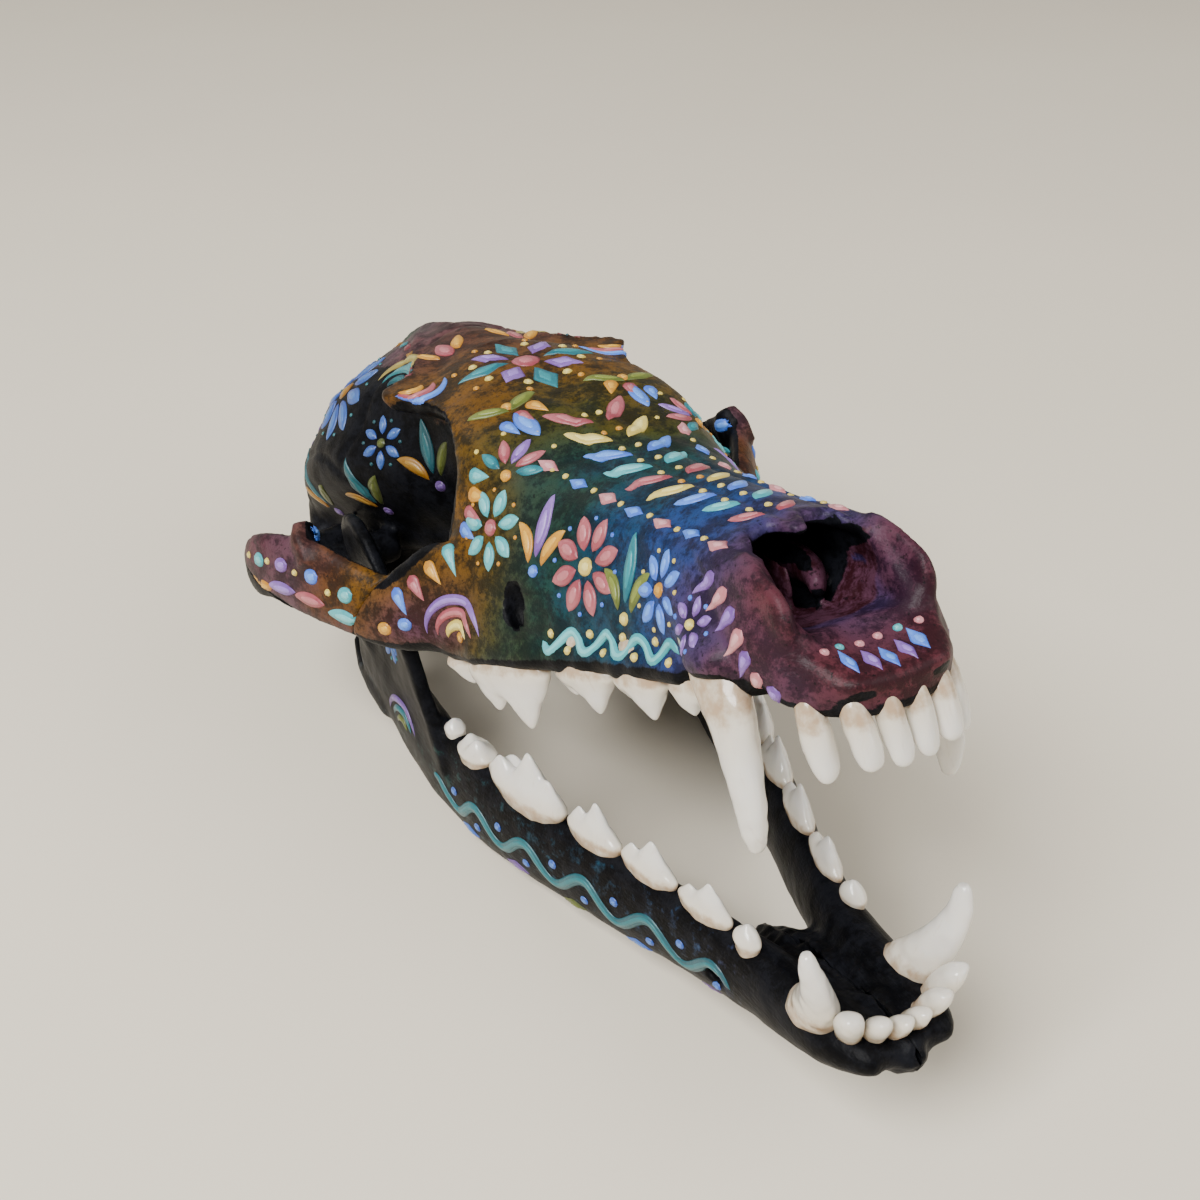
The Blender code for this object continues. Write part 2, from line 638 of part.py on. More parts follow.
def crown_tooth(name, sizes, side, down, home, count=12, steps=4):
    """A cheek tooth: an oval crown with one or more points, on a root that sinks into the bone."""
    place, half_length, half_width, turn, height, points = sizes
    grow = -1.0 if down else 1.0
    lead = points[0]

    def rise(along, across):
        found = 0.0
        for a, b, share, reach in points:
            away = math.hypot((along - a) / reach, (across - b) / (reach * POINT_SPREAD))
            found = max(found, share * max(0.0, 1.0 - away) ** POINT_BLUNTNESS)
        return found

    def build(shape):
        rings = []
        for scale, z in (*ROOT_RINGS, (1.0, SHOULDER_RISE * height)):
            ring = []
            for i in range(count):
                angle = 2 * math.pi * i / count
                ring.append(Vector((math.sin(angle) * scale, math.cos(angle) * scale, z)))
            rings.append(ring)
        for step in range(1, steps):
            share = step / steps
            ring = []
            for i in range(count):
                angle = 2 * math.pi * i / count
                across = math.sin(angle) * (1 - share) + lead[1] * share
                along = math.cos(angle) * (1 - share) + lead[0] * share
                low = SHOULDER_RISE + SHOULDER_SLOPE * share
                z = height * (low + (1 - low) * rise(along, across))
                ring.append(Vector((across, along, z)))
            rings.append(ring)
        loops = [[shape.verts.new(point) for point in ring] for ring in rings]
        for first, second in zip(loops, loops[1:]):
            for i in range(count):
                j = (i + 1) % count
                shape.faces.new((first[i], first[j], second[j], second[i]))
        shape.faces.new(list(reversed(loops[0])))
        tip = shape.verts.new((lead[1], lead[0], height))
        for i in range(count):
            shape.faces.new((loops[-1][i], loops[-1][(i + 1) % count], tip))
        x, s, z = place
        turned = Matrix.Rotation(math.radians(-turn * side), 4, "Z")
        sized = Matrix.Diagonal((half_width * side, half_length, grow, 1.0))
        bmesh.ops.transform(
            shape, matrix=Matrix.Translation((x * side, s, z)) @ turned @ sized, verts=shape.verts
        )

    return mesh_object(name, build, home)


def chisel_tooth(name, sizes, side, home, count=10):
    """A front tooth: a round root that widens into a blunt, slightly hooked blade."""
    *ends, half_length, half_width = sizes
    root, neck, tip = (Vector((p[0] * side, p[1], p[2])) for p in ends)

    def build(shape):
        rings = []
        for share, long, wide in CHISEL_RINGS:
            middle = root.lerp(neck, share) if share <= 1 else neck.lerp(tip, share - 1)
            ring = []
            for i in range(count):
                angle = 2 * math.pi * i / count
                reach = (math.cos(angle) * half_length * long, math.sin(angle) * half_width * wide, 0)
                ring.append(middle + Vector(reach))
            rings.append(ring)
        loft(shape, rings)

    return mesh_object(name, build, home)


def fang(name, path, side, home, count=12, steps=10):
    """A canine tooth along its curved path."""
    rows = [(float(i), x * side, *rest) for i, (x, *rest) in enumerate(path)]

    def build(shape):
        rings = []
        points = [spline(rows, i * (len(path) - 1) / steps)[1:] for i in range(steps + 1)]
        for i, (x, s, z, long, wide) in enumerate(points):
            before, after = points[max(i - 1, 0)], points[min(i + 1, len(points) - 1)]
            along = (Vector(after[:3]) - Vector(before[:3])).normalized()
            across = along.cross(Vector((0, 1, 0))).normalized()
            fore = across.cross(along)
            middle = Vector((x, s, z))
            angles = [2 * math.pi * k / count for k in range(count)]
            ring = [middle + across * (wide * math.cos(a)) + fore * (long * math.sin(a)) for a in angles]
            rings.append(ring)
        loft(shape, rings)

    return mesh_object(name, build, home)


def teeth(crowns, fronts, fang_path, side, down, home):
    """All the teeth of one side of one jaw."""
    made = [fang(f"fang_{side}", fang_path, side, home)]
    for name, sizes in crowns.items():
        made.append(crown_tooth(f"{name}_{side}", sizes, side, down, home))
    for name, sizes in fronts.items():
        made.append(chisel_tooth(f"{name}_{side}", sizes, side, home))
    return made


def cranium_bone(home):
    """The upper skull and both cheek arches in one body, hollowed where the real one is open."""
    pieces = [skull_loft("face", FACE_SECTIONS, home), skull_loft("vault", VAULT_SECTIONS, home)]
    pieces.append(skull_loft("molar_bone", MOLAR_SECTIONS, home, rings=12))
    pieces.append(roof_plate("roof", FOREHEAD_ROOF, FOREHEAD_THICKNESS, home))
    pieces += on_both_sides(tube, "wing", PTERYGOID_WALL, home)
    pieces += on_both_sides(tube, "nape", NUCHAL_CREST, home)
    pieces += on_both_sides(tube, "heel", PAROCCIPITAL, home, steps=12)
    pieces += on_both_sides(tube, "hinge_lip", HINGE_LIP, home, steps=8)
    pieces += on_both_sides(tube, "hinge_roof", HINGE_ROOF, home, steps=8)
    pieces.append(tube("crown", CROWN_CREST, home))
    pieces += ellipsoids_on_both_sides("drum", (14.4, 120.5, 8.6), (6.4, 9.6, 6.4), home, (0, 0, 14))
    pieces += ellipsoids_on_both_sides("neck_knob", (6.6, 142.0, 10.2), (4.4, 4.6, 5.2), home, (0, 0, -18))
    pieces += on_both_sides(tube, "nose_rim", NOSE_RIM, home, steps=14)
    pieces += ellipsoids_on_both_sides("fang_socket", *FANG_SOCKET, home)
    pieces += on_both_sides(tube, "fang_bulge", FANG_BULGE, home, steps=12)
    bone = fuse("head", pieces, home)
    cutters = [skull_loft("nose_air", NOSE_SECTIONS, home, rings=24, count=24)]
    notch = NOSE_NOTCH + tuple((-x, s) for x, s in NOSE_NOTCH[-2::-1])
    cutters.append(prism("nose_notch", notch, 5.6, 24.0, home))
    cutters += ellipsoids_on_both_sides("orbit", (26.4, 75.4, 22.4), (17.0, 14.0, 11.8), home, (-6, 0, 12))
    cutters += ellipsoids_on_both_sides("cheek_canal", (17.4, 49.4, 6.8), (2.0, 4.6, 3.6), home, (0, 0, 20))
    cutters += ellipsoids_on_both_sides("palate_slot", (2.7, 9.8, 0.6), (1.2, 4.4, 2.6), home)
    cutters += ellipsoids_on_both_sides("ear_hole", (22.6, 119.0, 11.0), (5.0, 2.2, 2.2), home)
    cutters.append(ellipsoid("palate_vault", (0.0, 42.0, -4.6), (9.6, 34.0, 6.6), home))
    cutters.append(ellipsoid("throat", (0.0, 80.0, 4.6), (5.4, 16.0, 4.2), home))
    cutters.append(ellipsoid("neck_hole", (0.0, 145.0, 15.0), (6.2, 9.0, 5.6), home))
    combine(bone, cutters, "DIFFERENCE", "MANIFOLD")
    pieces = [bone]
    pieces += on_both_sides(tube, "arch", CHEEK_ARCH, home, steps=36)
    pieces += on_both_sides(tube, "arch_point", CHEEK_POINT, home, steps=6)
    return fuse("head_bone", pieces, home, smoothing=2)


def jaw_bone(home):
    """Both halves of the lower jaw in one body, drawn as if the mouth were shut."""
    pieces = []
    body = [(x, s, (top + low) / 2, (top - low) / 2, thick) for s, x, top, low, thick in JAW_SECTIONS]
    pieces += on_both_sides(tube, "body", body, home, steps=44, count=20)
    pieces += on_both_sides(tube, "jaw_heel", JAW_HEEL, home, steps=12)
    pieces += on_both_sides(tube, "jaw_neck", JAW_NECK, home, steps=10)
    for side in (-1, 1):
        middle, lean = BLADE_MIDDLE * side, BLADE_LEAN * side
        pieces.append(plate(f"blade_{side}", BLADE_OUTLINE, middle, BLADE_HALF_THICKNESS, lean, home))
    pieces += ellipsoids_on_both_sides("condyle", condyle_place(), CONDYLE_RADII, home)
    pieces.append(ellipsoid("chin", (0.0, 15.0, -8.6), (5.0, 15.5, 4.4), home, (-14, 0, 0)))
    bone = fuse("jaws", pieces, home)
    hollow = ((27.0, 90.0, 6.0), (3.8, 10.0, 13.0))
    cutters = ellipsoids_on_both_sides("muscle_hollow", *hollow, home, (-16, 0, 0))
    cutters.append(ellipsoid("tongue_bed", (0.0, 16.0, -0.6), (3.4, 13.0, 4.4), home, (-10, 0, 0)))
    combine(bone, cutters, "DIFFERENCE", "MANIFOLD")
    return fuse("jaw_bone", [bone], home, smoothing=2)


def split(piece, names, home):
    """Splits a cut body into its bones, the largest first and the last two left then right."""
    shape = bmesh.new()
    shape.from_mesh(piece.data)
    found = islands(shape)[: len(names)]
    found[-2:] = sorted(found[-2:], key=lambda island: -sum(vert.co.x for vert in island) / len(island))
    shape.verts.index_update()
    kept = [{vert.index for vert in island} for island in found]
    made = []
    for name, indices in zip(names, kept):
        part = shape.copy()
        strangers = [vert for i, vert in enumerate(part.verts) if i not in indices]
        bmesh.ops.delete(part, geom=strangers, context="VERTS")
        mesh = bpy.data.meshes.new(name)
        part.to_mesh(mesh)
        part.free()
        bone = bpy.data.objects.new(name, mesh)
        home.objects.link(bone)
        made.append(bone)
    shape.free()
    bpy.data.objects.remove(piece)
    return made


def suture_cutter(name, side, place, turn, lean, home):
    """A thin upright blade across a cheek arch, turned about z and leaning about x, in degrees."""

    def build(shape):
        bmesh.ops.create_cube(shape, size=1.0)
        turned = Matrix.Rotation(math.radians(turn * side), 4, "Z")
        turned = turned @ Matrix.Rotation(math.radians(lean), 4, "X")
        placed = Matrix.Translation((place[0] * side, *place[1:])) @ turned
        sized = placed @ Matrix.Diagonal((*SUTURE_REACH, 1.0))
        bmesh.ops.transform(shape, matrix=sized, verts=shape.verts)

    return mesh_object(name, build, home)


def lowest(pieces, pose):
    return min((pose @ vert.co).z for piece in pieces for vert in piece.data.vertices)


def floor_cutter(name, pose, level, home):
    """A block whose top lies at a level of the posed skull, given in the piece's own frame."""
    made = slab(name, (-100, -100, -40), (100, 250, 0), home)
    made.data.transform(pose.inverted() @ Matrix.Translation((0, 0, level)))
    return made


def finish_mesh(piece, colour, roughness, metallic=0.0):
    """Gives the bone triangles, smooth shading and its own material."""
    shape = bmesh.new()
    shape.from_mesh(piece.data)
    bmesh.ops.dissolve_degenerate(shape, edges=shape.edges, dist=1e-6)
    bmesh.ops.triangulate(shape, faces=shape.faces)
    for face in shape.faces:
        face.smooth = True
    shape.to_mesh(piece.data)
    shape.free()
    piece.data.materials.clear()
    piece.data.materials.append(material(f"{piece.name}_paint", colour, roughness, metallic))


def build_skull():
    """Builds the bones, fits the teeth, and poses the skull on its lower jaw."""
    clear_scene()
    skull = new_collection("fox_skull")
    bench = new_collection("workbench", shown=False)

    skull_pose = Matrix.Rotation(math.radians(-NOSE_UP), 4, "X")
    hinge = JAW_HINGE * MM
    opening = Matrix.Rotation(math.radians(GAPE), 4, "X")
    jaw_pose = skull_pose @ Matrix.Translation(hinge) @ opening @ Matrix.Translation(-hinge)

    head = cranium_bone(bench)
    thin_out(head, HEAD_TRIANGLES)
    blades = []
    for side in (-1, 1):
        blades.append(suture_cutter(f"front_suture_{side}", side, *FRONT_SUTURE, bench))
        blades.append(suture_cutter(f"rear_suture_{side}", side, *REAR_SUTURE, bench))
    socket = [radius + JOINT_GAP for radius in CONDYLE_RADII]
    blades += ellipsoids_on_both_sides("socket", condyle_place(), socket, bench)
    combine(head, blades, "DIFFERENCE")
    cranium, *arches = split(head, ("cranium", "zygomatic_arch_left", "zygomatic_arch_right"), skull)
    upper = []
    for side in (-1, 1):
        upper += teeth(UPPER_TEETH, UPPER_FRONT_TEETH, UPPER_FANG, side, True, bench)
    combine(cranium, upper, "UNION")

    jaw = jaw_bone(bench)
    thin_out(jaw, 2 * JAW_TRIANGLES)
    half = SUTURE_GAP / 2
    combine(jaw, [slab("chin_suture", (-half, -20, -60), (half, 60, 40), bench)], "DIFFERENCE")
    jaws = split(jaw, ("mandible_left", "mandible_right"), skull)
    for bone, side in zip(jaws, (1, -1)):
        combine(bone, teeth(LOWER_TEETH, LOWER_FRONT_TEETH, LOWER_FANG, side, False, bench), "UNION")

    floor = lowest(jaws, jaw_pose) + FLOOR_CUT * MM
    for bone in jaws:
        combine(bone, [floor_cutter("jaw_floor", jaw_pose, floor, bench)], "DIFFERENCE")
    combine(cranium, [floor_cutter("heel_floor", skull_pose, floor, bench)], "DIFFERENCE")
    for bone in (cranium, *jaws):
        keep_largest(bone)
    finish_mesh(cranium, PETROL_PAINT, SATIN)
    for bone in arches:
        finish_mesh(bone, MAROON_PAINT, SATIN)
    for bone in jaws:
        finish_mesh(bone, BLACK_PAINT, SATIN)

    root = bpy.data.objects.new("skull_stance", None)
    root.rotation_euler = (math.radians(-NOSE_UP), 0, 0)
    jaw_root = bpy.data.objects.new("jaw_opening", None)
    jaw_root.parent = root
    jaw_root.location = hinge
    jaw_root.rotation_euler = (math.radians(GAPE), 0, 0)
    for empty in (root, jaw_root):
        skull.objects.link(empty)
    for bone in (cranium, *arches):
        bone.parent = root
    for bone in jaws:
        bone.parent = jaw_root
        bone.location = -hinge
    posed = [skull_pose @ vert.co for bone in (cranium, *arches) for vert in bone.data.vertices]
    posed += [jaw_pose @ vert.co for bone in jaws for vert in bone.data.vertices]
    middle = [(min(p[i] for p in posed) + max(p[i] for p in posed)) / 2 for i in (0, 1)]
    root.location = (-middle[0], -middle[1], -floor)
    bpy.data.collections.remove(bench)


build_skull()
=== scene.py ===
"""Looks of a painted fox skull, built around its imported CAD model.

Every bone and tooth is modelled in millimetres in the skull's own frame: x to the animal's left, s backwards
from the front edge of the upper jaw, and z up from the line where the upper teeth leave the bone. A stance
then tips the skull nose up, opens its jaw and sets it down on the floor of the row frame.
"""

import json  # noqa: E402
import logging  # noqa: E402
import math  # noqa: E402
import random  # noqa: E402
from dataclasses import dataclass  # noqa: E402
from enum import Enum  # noqa: E402
from typing import Callable, Sequence  # noqa: E402

import bmesh  # noqa: E402
import bpy  # noqa: E402
import numpy as np  # noqa: E402
from mathutils import Matrix, Vector, noise  # noqa: E402
from mathutils.bvhtree import BVHTree  # noqa: E402

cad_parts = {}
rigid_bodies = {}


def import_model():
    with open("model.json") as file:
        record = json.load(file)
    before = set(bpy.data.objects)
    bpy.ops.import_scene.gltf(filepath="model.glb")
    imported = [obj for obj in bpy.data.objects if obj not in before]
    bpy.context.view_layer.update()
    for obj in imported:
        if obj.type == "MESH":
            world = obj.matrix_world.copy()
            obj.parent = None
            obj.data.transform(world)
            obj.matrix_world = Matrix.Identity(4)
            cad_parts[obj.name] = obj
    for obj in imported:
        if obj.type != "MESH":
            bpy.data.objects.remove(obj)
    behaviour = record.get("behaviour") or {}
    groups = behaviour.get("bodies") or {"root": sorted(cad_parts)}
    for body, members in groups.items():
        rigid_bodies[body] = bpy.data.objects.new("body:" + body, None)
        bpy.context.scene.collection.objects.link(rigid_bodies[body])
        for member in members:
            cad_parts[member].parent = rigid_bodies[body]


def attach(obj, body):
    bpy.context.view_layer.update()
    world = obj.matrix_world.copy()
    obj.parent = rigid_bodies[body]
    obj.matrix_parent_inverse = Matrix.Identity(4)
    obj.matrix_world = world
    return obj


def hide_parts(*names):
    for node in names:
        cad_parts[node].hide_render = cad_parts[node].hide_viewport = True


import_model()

MM = 0.001
log = logging.getLogger("fox_skull")

Row = tuple[float, ...]
Path = tuple[Row, ...]
Fold = tuple[Path, float, float, int]


def lerp(a: float, b: float, t: float) -> float:
    """The number a share t of the way from a to b."""
    return a + (b - a) * t


def smooth_step(low: float, high: float, values: np.ndarray) -> np.ndarray:
    """Eases values from 0 at low to 1 at high.

    Args:
        low: the value that gives 0.
        high: the value that gives 1.
        values: the numbers to ease.

    Returns:
        Numbers from 0 to 1.
    """
    t = np.clip((values - low) / (high - low), 0.0, 1.0)
    return t * t * (3.0 - 2.0 * t)


def spline(rows: Sequence[Row], place: float) -> list[float]:
    """The row of numbers at a place on a smooth curve through rows.

    Args:
        rows: rows of numbers, each of which starts with its own place, in rising order.
        place: where on the curve to read it.

    Returns:
        The eased row, its place included.
    """
    k = max(0, min(len(rows) - 2, sum(row[0] <= place for row in rows) - 1))
    before, a, b, after = (rows[max(0, min(len(rows) - 1, i))] for i in (k - 1, k, k + 1, k + 2))
    span = b[0] - a[0]
    t = max(0.0, min(1.0, (place - a[0]) / span))
    made = []
    for p0, p1, p2, p3 in zip(before, a, b, after):
        m1 = (p2 - p0) * span / max(b[0] - before[0], 1e-6)
        m2 = (p3 - p1) * span / max(after[0] - a[0], 1e-6)
        start = (2 * t**3 - 3 * t**2 + 1) * p1 + (t**3 - 2 * t**2 + t) * m1
        made.append(start + (3 * t**2 - 2 * t**3) * p2 + (t**3 - t**2) * m2)
    return made


def along(path: Sequence[Row], steps: int) -> list[list[float]]:
    """Evenly counted points of the smooth curve through a path.

    Args:
        path: the path's own points.
        steps: how many spans the curve gets.

    Returns:
        steps + 1 points.
    """
    rows = [(float(i), *point) for i, point in enumerate(path)]
    return [spline(rows, i * (len(path) - 1) / steps)[1:] for i in range(steps + 1)]


def heading(points: Sequence[Sequence[float]], i: int) -> Vector:
    """The unit direction of a line of points at its point i."""
    before, after = points[max(i - 1, 0)], points[min(i + 1, len(points) - 1)]
    return (Vector(after[:3]) - Vector(before[:3])).normalized()


def mirrored(path: Sequence[Row]) -> list[Row]:
    """The same path on the animal's other side."""
    return [(-point[0], *point[1:]) for point in path]


@dataclass(frozen=True)
class Stance:
    """How the skull lies: nose up, jaw open, on the floor.

    Attributes:
        nose_up: how far the skull is tipped back, in degrees.
        gape: how far the jaw is open, in degrees.
        hinge: the jaw's hinge.
        place: where the skull's own origin lies in the row frame, in millimetres.
    """

    nose_up: float = 26.0
    gape: float = 20.2
    hinge: Row = (0.0, 107.0, 6.0)
    place: Row = (0.033, -68.658, 60.703)

    def head(self) -> Matrix:
        """The matrix that places the upper skull."""
        tip = Matrix.Rotation(math.radians(-self.nose_up), 4, "X")
        return Matrix.Translation(Vector(self.place) * MM) @ tip

    def jaw(self) -> Matrix:
        """The matrix that places the lower jaw.

        Returns:
            The matrix.
        """
        hinge = Vector(self.hinge) * MM
        opening = Matrix.Rotation(math.radians(self.gape), 4, "X")
        return self.head() @ Matrix.Translation(hinge) @ opening @ Matrix.Translation(-hinge)


STANCE = Stance()
HEAD_NODES = ("cranium", "zygomatic_arch_left", "zygomatic_arch_right")
JAW_NODES = ("mandible_left", "mandible_right")


def new_object(name: str, shape: bmesh.types.BMesh) -> bpy.types.Object:
    """Makes an object of a shape, puts it into the scene and frees the shape.

    Args:
        name: the object's name.
        shape: its shape, in metres.

    Returns:
        The object.
    """
    mesh = bpy.data.meshes.new(name)
    shape.to_mesh(mesh)
    shape.free()
    made = bpy.data.objects.new(name, mesh)
    bpy.context.scene.collection.objects.link(made)
    return made


class Clay:
    """Closed solids laid over one another in one mesh, in millimetres, to be fused or to cut with."""

    def __init__(self) -> None:
        """Starts with nothing."""
        self.shape = bmesh.new()

    def ring(self, points: Sequence[Vector], capped: bool) -> list[bmesh.types.BMEdge]:
        """A closed ring of edges.

        Args:
            points: where the ring runs.
            capped: whether it is filled.

        Returns:
            The ring's edges.
        """
        made = bmesh.ops.create_circle(self.shape, cap_ends=capped, segments=len(points), radius=1.0)["verts"]
        for vert, point in zip(made, points):
            vert.co = point
        return list({edge for vert in made for edge in vert.link_edges})

    def loft(self, rings: Sequence[Sequence[Vector]]) -> "Clay":
        """Skins a row of rings that have as many points, and closes both ends.

        Args:
            rings: the rings, in order.

        Returns:
            This clay.
        """
        last = len(rings) - 1
        loops = [self.ring(points, i in (0, last)) for i, points in enumerate(rings)]
        for first, second in zip(loops, loops[1:]):
            bmesh.ops.bridge_loops(self.shape, edges=first + second)
        return self

    def sections(self, table: Sequence[tuple], rings: int = 48, count: int = 44) -> "Clay":
        """The solid through a table of skull sections.

        Args:
            table: rows of s, then floor, middle and roof as (height, half width), then the crown's height.
            rings: how many sections are cut from the smooth curve through them.
            count: how many points a section has.

        Returns:
            This clay.
        """
        rows = [(s, *floor, *middle, *roof, top) for s, floor, middle, roof, top in table]
        first, last = rows[0][0], rows[-1][0]
        made = []
        for i in range(rings):
            s, zf, wf, zm, wm, zr, wr, zt = spline(rows, lerp(first, last, i / (rings - 1)))
            half = [(0.0, zf), (wf * 0.82, zf), (wf, lerp(zf, zm, 0.3)), (wm, zm)]
            half += [(lerp(wm, wr, 0.45), lerp(zm, zr, 0.6)), (wr, zr)]
            outline = half + [(0.0, zt)] + [(-x, z) for x, z in half[:0:-1]]
            turns = len(outline)
            closed = [(float(k), *outline[k % turns]) for k in range(-2, turns + 3)]
            points = [spline(closed, k * turns / count)[1:] for k in range(count)]
            made.append([Vector((x, s, z)) for x, z in points])
        return self.loft(made)

    def tube(self, path: Path, steps: int = 30, count: int = 18) -> "Clay":
        """A bone of oval section along a smooth path.

        Args:
            path: points of (x, s, z, half height, half thickness).
            steps: how many spans the path gets.
            count: how many points a section has.

        Returns:
            This clay.
        """
        points = along(path, steps)
        rings = []
        for i, (x, s, z, high, thick) in enumerate(points):
            run = heading(points, i)
            side = run.cross(Vector((0, 0, 1)))
            side = side.normalized() if side.length > 1e-4 else Vector((1, 0, 0))
            up = side.cross(run)
            angles = [2 * math.pi * k / count for k in range(count)]
            centre = Vector((x, s, z))
            rings.append([centre + side * (thick * math.cos(a)) + up * (high * math.sin(a)) for a in angles])
        return self.loft(rings)

    def tubes(self, path: Path, steps: int = 30, count: int = 18) -> "Clay":
        """The same bone on both sides."""
        return self.tube(path, steps, count).tube(mirrored(path), steps, count)

    def egg(self, centre: Row, radii: Row, turn: Row = (0.0, 0.0, 0.0)) -> "Clay":
        """An ellipsoid.

        Args:
            centre: its middle.
            radii: its half sizes along x, s and z before it turns.
            turn: its turn about x, s and z, in degrees.

        Returns:
            This clay.
        """
        about_x, about_s, about_z = (
            Matrix.Rotation(math.radians(angle), 4, axis) for angle, axis in zip(turn, "XYZ")
        )
        turned = about_z @ about_s @ about_x
        placed = Matrix.Translation(centre) @ turned @ Matrix.Diagonal((*radii, 1.0))
        bmesh.ops.create_uvsphere(self.shape, u_segments=32, v_segments=16, radius=1.0, matrix=placed)
        return self

    def eggs(self, centre: Row, radii: Row, turn: Row = (0.0, 0.0, 0.0)) -> "Clay":
        """The same ellipsoid on both sides."""
        x, s, z = centre
        return self.egg(centre, radii, turn).egg((-x, s, z), radii, (turn[0], -turn[1], -turn[2]))

    def prism(self, outline: Sequence[Vector], rise: Vector) -> "Clay":
        """A solid that an outline sweeps.

        Args:
            outline: the outline's corners.
            rise: how far it is swept.

        Returns:
            This clay.
        """
        self.ring(outline, True)
        face = self.shape.faces[:][-1]
        grown = bmesh.ops.extrude_face_region(self.shape, geom=[face], use_keep_orig=True)["geom"]
        moved = [item for item in grown if isinstance(item, bmesh.types.BMVert)]
        bmesh.ops.translate(self.shape, vec=rise, verts=moved)
        return self

    def roof(self, outline: Path, thickness: float) -> "Clay":
        """A thick sheet over an outline and its mirror image.

        Args:
            outline: points of (x, s, z) of its top, from the front to the back of the left side.
            thickness: how thick it is.

        Returns:
            This clay.
        """
        whole = list(outline) + [(-x, s, z) for x, s, z in reversed(outline) if x > 0]
        top = [Vector(point) for point in whole]
        return self.loft([top, [Vector((p.x * 0.9, p.y, p.z - thickness)) for p in top]])

    def piece(self, name: str) -> bpy.types.Object:
        """Makes an object of the clay, in metres, and lets go of it.

        Args:
            name: the object's name.

        Returns:
            The object.
        """
        bmesh.ops.recalc_face_normals(self.shape, faces=self.shape.faces)
        bmesh.ops.scale(self.shape, vec=(MM, MM, MM), verts=self.shape.verts)
        return new_object(name, self.shape)


def apply_modifiers(piece: bpy.types.Object) -> None:
    """Replaces the object's mesh by what its modifiers make of it.

    Args:
        piece: the object.
    """
    bpy.context.view_layer.update()
    graph = bpy.context.evaluated_depsgraph_get()
    mesh = bpy.data.meshes.new_from_object(piece.evaluated_get(graph))
    piece.modifiers.clear()
    old, piece.data = piece.data, mesh
    bpy.data.meshes.remove(old)


def fuse(piece: bpy.types.Object, voxel: float, smoothing: int) -> bpy.types.Object:
    """Makes one bone of overlapping solids: skinned afresh on a grid, and eased where they meet.

    Args:
        piece: the solids as one object.
        voxel: the grid's pitch in millimetres.
        smoothing: how often the skin is eased.

    Returns:
        The same object.
    """
    skin = piece.modifiers.new("skin", "REMESH")
    skin.mode = "VOXEL"
    skin.voxel_size = voxel * MM
    ease = piece.modifiers.new("ease", "SMOOTH")
    ease.factor = 0.5
    ease.iterations = smoothing
    apply_modifiers(piece)
    return piece


def cut(piece: bpy.types.Object, cutters: Sequence[Clay]) -> None:
    """Takes the cutters' space out of a bone.

    Args:
        piece: the bone.
        cutters: what is taken out, each one closed solid or several that don't touch.
    """
    bench = bpy.data.collections.new("cutters")
    bpy.context.scene.collection.children.link(bench)
    for i, clay in enumerate(cutters):
        cutter = clay.piece(f"cutter_{i}")
        bpy.context.scene.collection.objects.unlink(cutter)
        bench.objects.link(cutter)
    taken = piece.modifiers.new("taken", "BOOLEAN")
    taken.operation = "DIFFERENCE"
    taken.operand_type = "COLLECTION"
    taken.collection = bench
    taken.solver = "MANIFOLD"
    apply_modifiers(piece)
    for cutter in list(bench.objects):
        bpy.data.objects.remove(cutter)
    bpy.data.collections.remove(bench)


def islands(shape: bmesh.types.BMesh) -> list[set]:
    """The separate surfaces of a mesh, largest first.

    Args:
        shape: the mesh.

    Returns:
        A set of vertices for each surface.
    """
    left = set(shape.verts)
    found = []
    while left:
        island, edge = set(), [left.pop()]
        while edge:
            vert = edge.pop()
            island.add(vert)
            near = {link.other_vert(vert) for link in vert.link_edges} & left
            left -= near
            edge.extend(near)
        found.append(island)
    return sorted(found, key=len, reverse=True)


def split(piece: bpy.types.Object, names: Sequence[str]) -> list[bpy.types.Object]:
    """Splits a bone that was cut through into its parts.

    Args:
        piece: the bone, which goes.
        names: the parts' names, the largest first and the last two left then right.

    Returns:
        The parts.
    """
    shape = bmesh.new()
    shape.from_mesh(piece.data)
    found = islands(shape)[: len(names)]
    found[-2:] = sorted(found[-2:], key=lambda island: -sum(vert.co.x for vert in island) / len(island))
    shape.verts.index_update()
    kept = [{vert.index for vert in island} for island in found]
    made = []
    for name, indices in zip(names, kept):
        part = shape.copy()
        strangers = [vert for i, vert in enumerate(part.verts) if i not in indices]
        bmesh.ops.delete(part, geom=strangers, context="VERTS")
        made.append(new_object(name, part))
    shape.free()
    bpy.data.objects.remove(piece)
    return made


